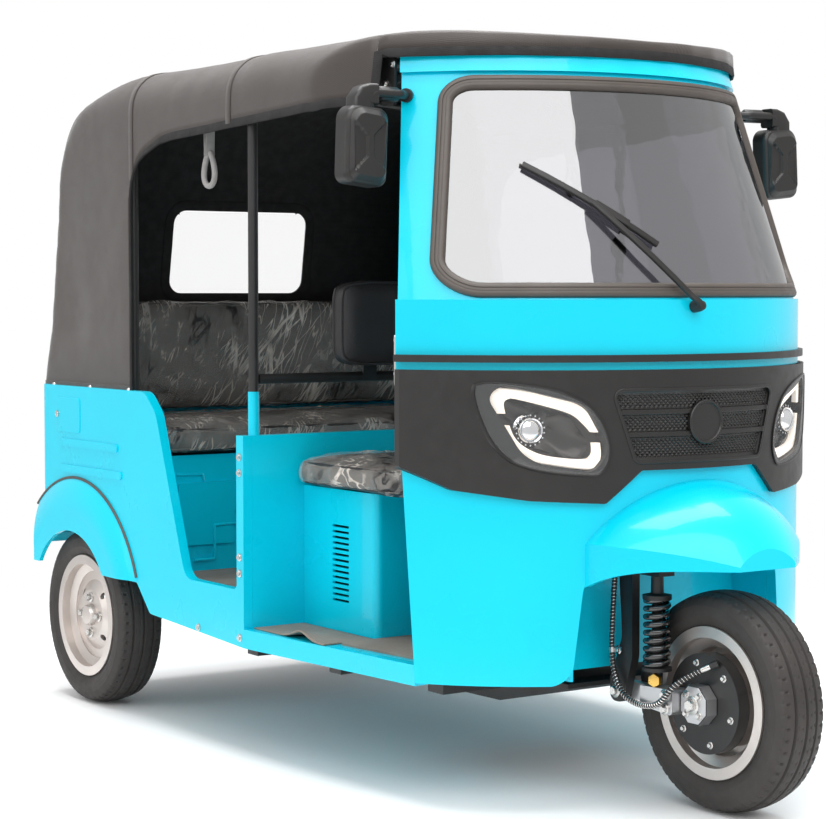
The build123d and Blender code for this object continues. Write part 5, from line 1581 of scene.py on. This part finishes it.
@dataclass
class Suspension:
    """Coil spring, damper, hub cover and bolts of the front wheel's arm."""
    shock: tuple[float, float] = (-0.108, -0.880)
    foot: float = 0.276
    top: float = 0.5217
    turns: float = 9.0
    coil_r: float = 0.0245
    wire_r: float = 0.0075
    hub_x: float = -0.1062
    plate_x: float = -0.0742
    foot_seat: float = 0.042
    top_seat: float = 0.050

    def build(self) -> None:
        """Makes the spring unit, whose coil is a section swept along a helix, and dresses the hub."""
        x, y = self.shock
        low, high = self.foot + self.foot_seat, self.top - self.top_seat
        part = np.linspace(0, 1, 260)
        angle = part * self.turns * TURN
        rise = low + (high - low) * np.clip((part - 0.03) / 0.94, 0, 1)
        path = np.stack([x + self.coil_r * np.cos(angle), y + self.coil_r * np.sin(angle), rise], -1)
        coil = solid("shock_coil", swept(path, circle(self.wire_r, 10), path - (x, y, 0) - rise[:, None] * (0, 0, 1)),
                     SPRING, Body.STEERING)
        body = revolved([(0, 0), (0, 0.013), (0.030, 0.014), (0.032, 0.034), (0.040, 0.034), (0.043, 0.018),
                         (0.120, 0.018), (0.123, 0.012), (0.190, 0.012), (0.193, 0.033), (0.203, 0.033), (0.207, 0.015),
                         (self.top - self.foot, 0.014), (self.top - self.foot, 0)], 32)
        damper = solid("shock_damper", body.placed(facing((x, y, self.foot), (0, 0, 1))), BLACK, Body.STEERING)
        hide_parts("shock_absorber")
        coil.parent = damper
        collar = revolved([(0, 0.0), (0, 0.0175), (0.006, 0.0175), (0.010, 0.015), (0.012, 0.0)], 6)
        solid("shock_fitting", collar.placed(facing((x - 0.010, y - 0.008, self.foot + 0.012), (-1, -0.4, 0))), BRASS,
              Body.STEERING)
        self._hub()

    def _hub(self) -> None:
        """Eight-sided cover on the hub, and bolts on it, round the brake plate and along the arm."""
        y, z = FRONT_AXLE[1:]

        def ring(x: float, radius: float, turns: Array) -> list[Point]:
            """Places round the axle."""
            return [(x, y + radius * math.cos(a), z + radius * math.sin(a)) for a in turns]

        heads = [(0.006, 0.009, ring(self.hub_x, 0.030, (np.arange(4) + 0.5) * TURN / 4)),
                 (0.014, 0.016, [(self.hub_x, y, z)]),
                 (0.0055, 0.008, ring(self.plate_x, 0.092, (np.arange(6) + 0.25) * TURN / 6)),
                 (0.011, 0.013, [(-0.1263, -0.760, z)]),
                 (0.009, 0.012, [(-0.1303, -0.935, z + up) for up in (-0.016, 0.016)])]
        bolts = [hex_bolt(radius, height, at, (-1, 0, 0)) for radius, height, places in heads for at in places]
        solid("hub_bolts", joined(bolts), STEEL, Body.STEERING)
        turn = np.arange(9) * TURN / 8 + TURN / 16
        rows = ((0.0467, 0.030), (0.0467, 0.002), (0.043, -0.0004), (0.030, -0.0004), (0.0, -0.0004))
        cover = [np.stack([np.full(9, self.hub_x + lift), y + radius * np.cos(turn), z + radius * np.sin(turn)], -1)
                 for radius, lift in rows]
        solid("hub_cover", lattice(np.array(cover)), ALLOY, Body.STEERING, inside=(0, y, z), sharp=20)


@dataclass
class Hose:
    """Brake hose with a bright guard spiral, end fittings and a clamp on the fork's leg."""
    route: tuple[Point, ...] = (
        (-0.139, -0.772, 0.556), (-0.139, -0.762, 0.440), (-0.139, -0.757, 0.318), (-0.141, -0.790, 0.250),
        (-0.142, -0.850, 0.228), (-0.145, -0.930, 0.238), (-0.143, -0.970, 0.288), (-0.106, -1.006, 0.320),
        (-0.087, -1.034, 0.336))
    radius: float = 0.006
    pitch: float = 0.008
    wire: float = 0.0011
    clamp_z: float = 0.345

    def build(self) -> None:
        """Hose as a smooth curve through the route's points, with a spiral wound on it."""
        curve = bpy.data.curves.new("brake_hose_cord", "CURVE")
        curve.dimensions, curve.resolution_u = "3D", 16
        spline = curve.splines.new("NURBS")
        spline.points.add(len(self.route) - 1)
        for point, place in zip(spline.points, self.route):
            point.co = (*place, 1)
        spline.order_u, spline.use_endpoint_u = 3, True
        hose = linked("brake_hose_cord", curve)
        mesh = bpy.data.meshes.new_from_object(hose)
        line = np.array([vertex.co for vertex in mesh.vertices])
        bpy.data.meshes.remove(mesh)
        curve.bevel_depth, curve.bevel_resolution, curve.use_fill_caps = self.radius, 4, True
        curve.materials.append(HOSE.material())
        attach(hose, Body.STEERING.value)
        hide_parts("brake_hose")
        length = float(np.linalg.norm(np.diff(line, axis=0), axis=1).sum())
        self._spiral(line, length)
        self._fittings(line)
        LOG.info("brake_hose_cord: %.3f m on %s", length, Body.STEERING.value)

    def _spiral(self, line: Array, length: float) -> Piece:
        """Wire wound on the hose: at each length along it, a point on its skin at an evenly growing angle.

        Args:
            line: The hose's middle line.
            length: Its length.

        Returns:
            The wire.
        """
        steps = np.concatenate([[0], np.cumsum(np.linalg.norm(np.diff(line, axis=0), axis=1))])
        along = np.linspace(0.012, length - 0.012, round(length / self.pitch * 12))
        middle = np.stack([np.interp(along, steps, line[:, axis]) for axis in range(3)], -1)
        ahead = np.gradient(middle, axis=0)
        ahead /= np.linalg.norm(ahead, axis=1, keepdims=True)
        side = np.array((1.0, 0, 0)) - ahead * ahead[:, :1]
        side /= np.linalg.norm(side, axis=1, keepdims=True)
        angle = (along / self.pitch * TURN)[:, None]
        out = np.cos(angle) * side + np.sin(angle) * np.cross(ahead, side)
        path = middle + out * (self.radius + 0.4 * self.wire)
        return solid("hose_spiral", swept(path, circle(self.wire, 6), out), STEEL, Body.STEERING)

    def _fittings(self, line: Array) -> Piece:
        """Crimped sleeves on both ends, and a band with its bolt at the clamp.

        Args:
            line: The hose's middle line.

        Returns:
            The fittings.
        """
        sleeve = revolved([(0, 0), (0, 0.0070), (0.004, 0.0076), (0.014, 0.0074), (0.022, 0.0068), (0.022, 0)], 20)
        pieces = [sleeve.placed(facing(line[end], line[after] - line[end])) for end, after in ((0, 1), (-1, -2))]
        near = np.argmin(np.abs(line[:, 2] - self.clamp_z) + 10 * (line[:, 1] < -0.80))
        band = revolved([(-0.006, 0.0068), (-0.006, 0.0082), (0.006, 0.0082), (0.006, 0.0068), (-0.006, 0.0068)], 24)
        pieces.append(band.placed(facing(line[near], line[near + 1] - line[near])))
        pieces.append(hex_bolt(0.007, 0.010, line[near] + (0.010, -0.013, 0.0), (-1, 0, 0)))
        return solid("hose_fittings", joined(pieces), STEEL, Body.STEERING)


@dataclass
class Pad:
    """One seat cushion: a soft box, swollen by a cloth run, with piping."""
    name: str
    node: str
    plan: float = 0.16
    crown: float = 0.34
    cap: float = 0.010
    voxel: float = 0.012
    shrink: float = 0.008
    foot_gap: float = 0.002
    top_gap: float = 0.003
    piping_tilt: float = 0.42
    piping_r: float = 0.004
    pressure: float = 4.0
    frames: int = 20

    def build(self) -> Piece:
        """Soft box between the node's corners: a superellipsoid about the thinnest way through.

        Returns:
            The pad.
        """
        low, high = (np.array(corner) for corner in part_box(self.node))
        thin = int(np.argmin(high - low))
        wide = [axis for axis in range(3) if axis != thin]
        low[wide], high[wide] = low[wide] + self.shrink, high[wide] - self.shrink
        low[thin], high[thin] = low[thin] + self.foot_gap, high[thin] - self.top_gap
        turn = np.linspace(-math.pi, math.pi, 200, endpoint=False)
        rise = np.linspace(-math.pi / 2, math.pi / 2, 60)
        points = self._shape(turn[None, :], rise[:, None], thin, wide, low, high)
        pad = solid(self.name, lattice(points, wrap_v=True), VINYL, sharp=80)
        self._swell(pad)
        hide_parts(self.node)
        tilts = (-self.piping_tilt, self.piping_tilt)
        rings = [self._shape(turn, np.full_like(turn, tilt), thin, wide, low, high) for tilt in tilts]
        self._piping(pad, rings)
        return pad

    def _shape(self, turn: Array, rise: Array, thin: int, wide: list[int], low: Array, high: Array) -> Array:
        """Points of the soft box: signed powers of the angles' sines and cosines.

        Args:
            turn: Angles round it.
            rise: Angles up it.
            thin: Axis of the thinnest way.
            wide: The other axes.
            low: Lower corner.
            high: Upper corner.

        Returns:
            The points.
        """
        def power(values: Array, exponent: float) -> Array:
            """Signed power."""
            return np.sign(values) * np.abs(values) ** exponent

        around = power(np.cos(rise), self.crown)
        unit = [around * power(np.cos(turn), self.plan), around * power(np.sin(turn), self.plan),
                power(np.sin(rise), self.crown) + 0 * turn]
        points = np.empty((*unit[0].shape, 3))
        for axis, values in zip((*wide, thin), unit):
            points[..., axis] = (low[axis] + high[axis]) / 2 + values * (high[axis] - low[axis]) / 2
        return points

    def _piping(self, pad: Piece, rings: list[Array]) -> None:
        """Cords swept along two rings on the pad's skin.

        Args:
            pad: The pad.
            rings: Points near the skin.
        """
        strips = []
        for ring in rings:
            hits = [pad.closest_point_on_mesh(tuple(point)) for point in thinned(ring, 1e-4)]
            normals = np.array([hit[2] for hit in hits])
            path = np.array([hit[1] for hit in hits]) + 0.001 * normals
            strips.append(swept(path, circle(self.piping_r, 8), normals, closed=True))
        solid(self.name + "_piping", joined(strips), VINYL)

    def _swell(self, pad: Piece) -> None:
        """Blows the box up as cloth and keeps each point within the cap.

        Args:
            pad: The pad.
        """
        remeshed(pad, self.voxel)
        before = vertices(pad)
        cloth = pad.modifiers.new("swell", "CLOTH")
        cloth.settings.use_pressure = True
        cloth.settings.uniform_pressure_force = self.pressure
        cloth.settings.effector_weights.gravity = 0.0
        scene = bpy.context.scene
        for number in range(1, self.frames + 1):
            scene.frame_set(number)
        bpy.ops.object.modifier_apply(modifier=cloth.name)
        scene.frame_set(1)
        move = vertices(pad) - before
        length = np.linalg.norm(move, axis=1, keepdims=True)
        move *= np.minimum(1, self.cap / np.maximum(length, 1e-9))
        pad.data.vertices.foreach_set("co", (before + move).ravel())
        pad.data.update()
        smooth = pad.modifiers.new("soft", "SUBSURF")
        smooth.levels = smooth.render_levels = 1


def vertices(obj: Piece) -> Array:
    """Places of an object's vertices.

    Args:
        obj: The object.

    Returns:
        An array of shape (count, 3).
    """
    flat = np.empty(len(obj.data.vertices) * 3, np.float32)
    obj.data.vertices.foreach_get("co", flat)
    return flat.reshape(-1, 3)


def remeshed(obj: Piece, voxel: float) -> None:
    """Rebuilds an object's mesh with even faces.

    Args:
        obj: The object.
        voxel: Size of its faces.
    """
    bpy.context.view_layer.objects.active = obj
    modifier = obj.modifiers.new("even", "REMESH")
    modifier.mode, modifier.voxel_size, modifier.use_smooth_shade = "VOXEL", voxel, True
    bpy.ops.object.modifier_apply(modifier=modifier.name)


@dataclass
class Wrap:
    """Crinkled clear film over a cushion, open on the side that the cushion rests on."""
    lift: float = 0.002
    voxel: float = 0.007
    creases: tuple[tuple[float, float, int], ...] = ((0.004, 0.20, 21), (0.002, 0.09, 33))
    opening: float = 0.75

    def build(self, name: str, pad: Piece, away: Sequence[float]) -> Piece:
        """Film from the pad's own skin, set out along its normals by creases, without the faces at its back.

        Args:
            name: The piece's name.
            pad: The cushion.
            away: Direction in which the film is open.

        Returns:
            The film.
        """
        mesh = pad.data.copy()
        mesh.name = name
        mesh.materials.clear()
        mesh.materials.append(WRAP.material())
        film = linked(name, mesh)
        remeshed(film, self.voxel)
        points = vertices(film)
        normals = np.empty(points.size, np.float32)
        film.data.vertex_normals.foreach_get("vector", normals)
        crease = sum(height * folds(points, pitch, seed) for height, pitch, seed in self.creases)
        points = points + normals.reshape(-1, 3) * (self.lift + crease)[:, None]
        film.data.vertices.foreach_set("co", points.astype(np.float32).ravel())
        work = bmesh.new()
        work.from_mesh(film.data)
        bmesh.ops.delete(work, geom=[f for f in work.faces if np.dot(f.normal, away) > self.opening], context="FACES")
        work.to_mesh(film.data)
        work.free()
        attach(film, Body.BODY.value)
        LOG.info("%s: %d faces on %s", name, len(film.data.polygons), Body.BODY.value)
        return film


@dataclass
class Straps:
    """Hand loops that hang from the side rails."""
    x: float = 0.586
    y: float = 0.303
    top: float = 1.604
    low: float = 1.432

    def build(self, side: float, name: str) -> Piece:
        """Webbing from a loop over the rail down to a moulded ring, both swept along their middle lines.

        Args:
            side: 1 for the vehicle's left, -1 for its right.
            name: The piece's name.

        Returns:
            The strap.
        """
        band = np.array([(0.0, self.top + 0.016), (0.0135, self.top + 0.009), (0.0145, self.top - 0.010),
                         (0.006, self.top - 0.040), (0.004, self.low + 0.085), (0.005, self.low + 0.070)])
        line = np.stack([np.full(len(band), side * self.x), self.y + band[:, 0], band[:, 1]], -1)
        other = line * (1, -1, 1) + (0, 2 * self.y, 0)
        path = np.concatenate([other[::-1], line[1:]])
        strap = swept(path, rounded(boxed(0.013, -0.001, 0.001, 0.0008, 0.0008), 2, 1), np.array((0, 1.0, 0.2)))
        turn = full_turn(40)
        ring = np.stack([np.full(40, side * self.x), self.y + 0.026 * np.cos(turn) * (1 - 0.35 * np.sin(turn)),
                         self.low + 0.035 + 0.042 * np.sin(turn)], -1)
        handle = swept(ring, circle(0.0075, 10), np.array((1.0, 0, 0)), closed=True)
        return solid(name, joined([strap, handle]), WEBBING)


@dataclass
class Fasteners:
    """Bolts that show on the body's seams and plates."""
    size: float = 0.0065

    def build(self) -> None:
        """Sets bolts on the pillar brackets, the front post's flange and the sills."""
        places = []
        for side in (1, -1):
            places += [((side * 0.5905, -0.5535, z), (side * 0.5, 0.86, 0)) for z in (0.975, 1.012, 1.050)]
            places += [((side * 0.6252, 0.090, z), (side, 0, 0)) for z in (0.750, 0.711, 0.502, 0.462, 0.302)]
            places += [((side * 0.6252, 0.30, 0.302), (side, 0, 0))]
        bolts = [hex_bolt(self.size, 0.007, at, way) for at, way in places]
        solid("body_bolts", joined(bolts), STEEL)


@dataclass
class SideTrim:
    """Locked flap on the right tub panel, fender welts, pillar plates and the beads pressed in the bench's front."""
    face: float = 0.6251
    flap: tuple[float, float, float, float] = (0.975, 1.128, 0.762, 0.861)
    lock: tuple[float, float] = (1.113, 0.812)
    pillar: tuple[float, float, float, float] = (-0.414, -0.357, 1.584, 1.696)
    welt_r: float = 0.3895
    bead_r: float = 0.004
    flap_d: float = 0.0022
    pillar_x: float = 0.497
    pillar_d: float = 0.006
    bolt_x: float = 0.503
    bolts: tuple[tuple[float, float], ...] = ((-0.406, 1.678), (-0.377, 1.635), (-0.406, 1.607))
    beads: tuple[tuple[float, tuple[tuple[float, float], ...]], ...] = (
        (0.640, ((0.503, 0.663), (0.430, 0.661), (0.421, 0.652), (0.402, 0.578), (0.393, 0.569), (0.322, 0.566))),
        (0.632, ((0.454, 0.429), (0.400, 0.430), (0.391, 0.439), (0.391, 0.512), (0.382, 0.521), (0.322, 0.523))))

    def build(self) -> None:
        """Flap and pillar plates as thin rounded plates, a turned lock, and welts and beads swept along curves."""
        solid("side_flap", self._plate(self.flap, -self.face, self.flap_d), PAINT, inside=(0, *self.lock))
        for side, name in ((1, "left"), (-1, "right")):
            plate = self._plate(self.pillar, side * self.pillar_x, self.pillar_d)
            solid("pillar_plate_" + name, plate, BLACK, inside=(0, -0.385, 1.64))
            bolts = [hex_bolt(0.007, 0.006, (side * self.bolt_x, *spot), (side, 0, 0)) for spot in self.bolts]
            solid("pillar_bolts_" + name, joined(bolts), STEEL)
        barrel = revolved([(0, 0), (0, 0.009), (0.004, 0.009), (0.0055, 0.0075), (0.0045, 0.006), (0.0045, 0.0015),
                           (0.002, 0.001), (0.002, 0)], 24)
        solid("flap_lock", barrel.placed(facing((-self.face - self.flap_d, *self.lock), (-1, 0, 0))), STEEL)
        turn = np.radians(np.linspace(50, 158, 40))
        y, z = LEFT_AXLE[1:]
        arc = np.stack([np.zeros(40), y + self.welt_r * np.cos(turn), z + self.welt_r * np.sin(turn)], -1)
        welts = [swept(arc + (side * (self.face + 0.002), 0, 0), circle(self.bead_r, 8), np.array((1.0, 0, 0)))
                 for side in (1, -1)]
        solid("fender_welts", joined(welts), SEAL)
        beads = [swept(curved([(side * x, depth, z) for x, z in line], 24), circle(self.bead_r, 8),
                       np.array((0, -1.0, 0))) for side in (1, -1) for depth, line in self.beads]
        solid("bench_beads", joined(beads), PAINT)

    @staticmethod
    def _plate(box: Sequence[float], x: float, thick: float) -> Shell:
        """Plate with rounded corners that stands off an upright plane, away from the vehicle's middle.

        Args:
            box: Front, rear, low and high.
            x: The plane's place.
            thick: Thickness.

        Returns:
            The plate.
        """
        front, rear, low, high = box
        corners = [(front, low, 0.012), (rear, low, 0.012), (rear, high, 0.012), (front, high, 0.012)]
        line, middle = rounded(corners, 6, 4), np.array(((front + rear) / 2, (low + high) / 2))
        stack = ((0.0, -0.001), (1.0, -0.001), (1.0, 0.6 * thick), (0.985, thick), (0.95, thick), (0.0, thick))
        rows = []
        for keep, out in stack:
            flat = middle + (line - middle) * keep
            rows.append(np.stack([np.full(len(flat), x + out * np.sign(x)), flat[:, 0], flat[:, 1]], -1))
        return lattice(np.array(rows), wrap_v=True)


@dataclass
class SideMat:
    """Loose rubber runner beside the front bench, with one wave in its outer edge."""
    inner: float = 0.455
    outer: float = 0.600
    front: float = -0.256
    rear: float = 0.064
    floor: float = 0.3290
    wave: float = 0.020
    wave_y: float = -0.150
    wave_l: float = 0.045
    thick: float = 0.0035

    def build(self, name: str, side: float) -> None:
        """Flat grid that lifts towards its outer edge in one bell-shaped bump.

        Args:
            name: The piece's name.
            side: 1 for the vehicle's left, -1 for its right.
        """
        along, share = np.meshgrid(np.linspace(self.front, self.rear, 60), np.linspace(0, 1, 14), indexing="ij")
        across = self.inner + (self.outer - self.inner) * share
        lift = self.wave * share ** 2 * np.exp(-((along - self.wave_y) / self.wave_l) ** 2)
        points = np.stack([side * across, along, self.floor + lift], -1)
        mat = solid(name, lattice(points), MAT, inside=(side * 0.5, -0.1, 0))
        thick = mat.modifiers.new("thickness", "SOLIDIFY")
        thick.thickness, thick.offset = self.thick, -1.0


def main() -> None:
    """Builds every sub-assembly in order."""
    logging.basicConfig(level=logging.INFO, format="%(message)s")
    Studio().build()
    BodyWork().dress()
    tyre = TyreTread()
    tyre.build("front_tyre_tread", "front_tyre", FRONT_AXLE, Body.FRONT_WHEEL)
    tyre.build("right_tyre_tread", "rear_right_tyre", RIGHT_AXLE, Body.RIGHT_WHEEL)
    tyre.build("left_tyre_tread", "rear_left_tyre", LEFT_AXLE, Body.LEFT_WHEEL)
    WheelDress().build("right_wheel", RIGHT_AXLE, -1, Body.RIGHT_WHEEL)
    WheelDress().build("left_wheel", LEFT_AXLE, 1, Body.LEFT_WHEEL)
    Canopy().build()
    lamps = [piece for name, side in SIDES for piece in Headlamp().build(name + "_lamp", side)]
    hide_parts("headlamps")
    Grille().build()
    Windscreen().build()
    Wiper().build()
    for name, side in SIDES:
        MirrorFace().build(name + "_mirror", side)
    Suspension().build()
    Hose().build()
    SideTrim().build()
    for name, side in SIDES:
        SideMat().build(name + "_mat", side)
    driver, passenger = Pad("driver_pad", "driver_cushion").build(), Pad("passenger_pad", "passenger_cushion").build()
    Pad("driver_back_pad", "driver_backrest", 0.28, 0.3).build()
    back = Pad("passenger_back_pad", "passenger_backrest", 0.12, 0.3).build()
    Wrap().build("driver_wrap", driver, (0, 0, -1))
    Wrap().build("passenger_wrap", passenger, (0, 0, -1))
    Wrap().build("passenger_back_wrap", back, (0, 1, 0))
    straps = [Straps().build(side, name + "_strap") for name, side in SIDES]
    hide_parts("grab_straps")
    Fasteners().build()


if __name__ == "__main__":
    main()
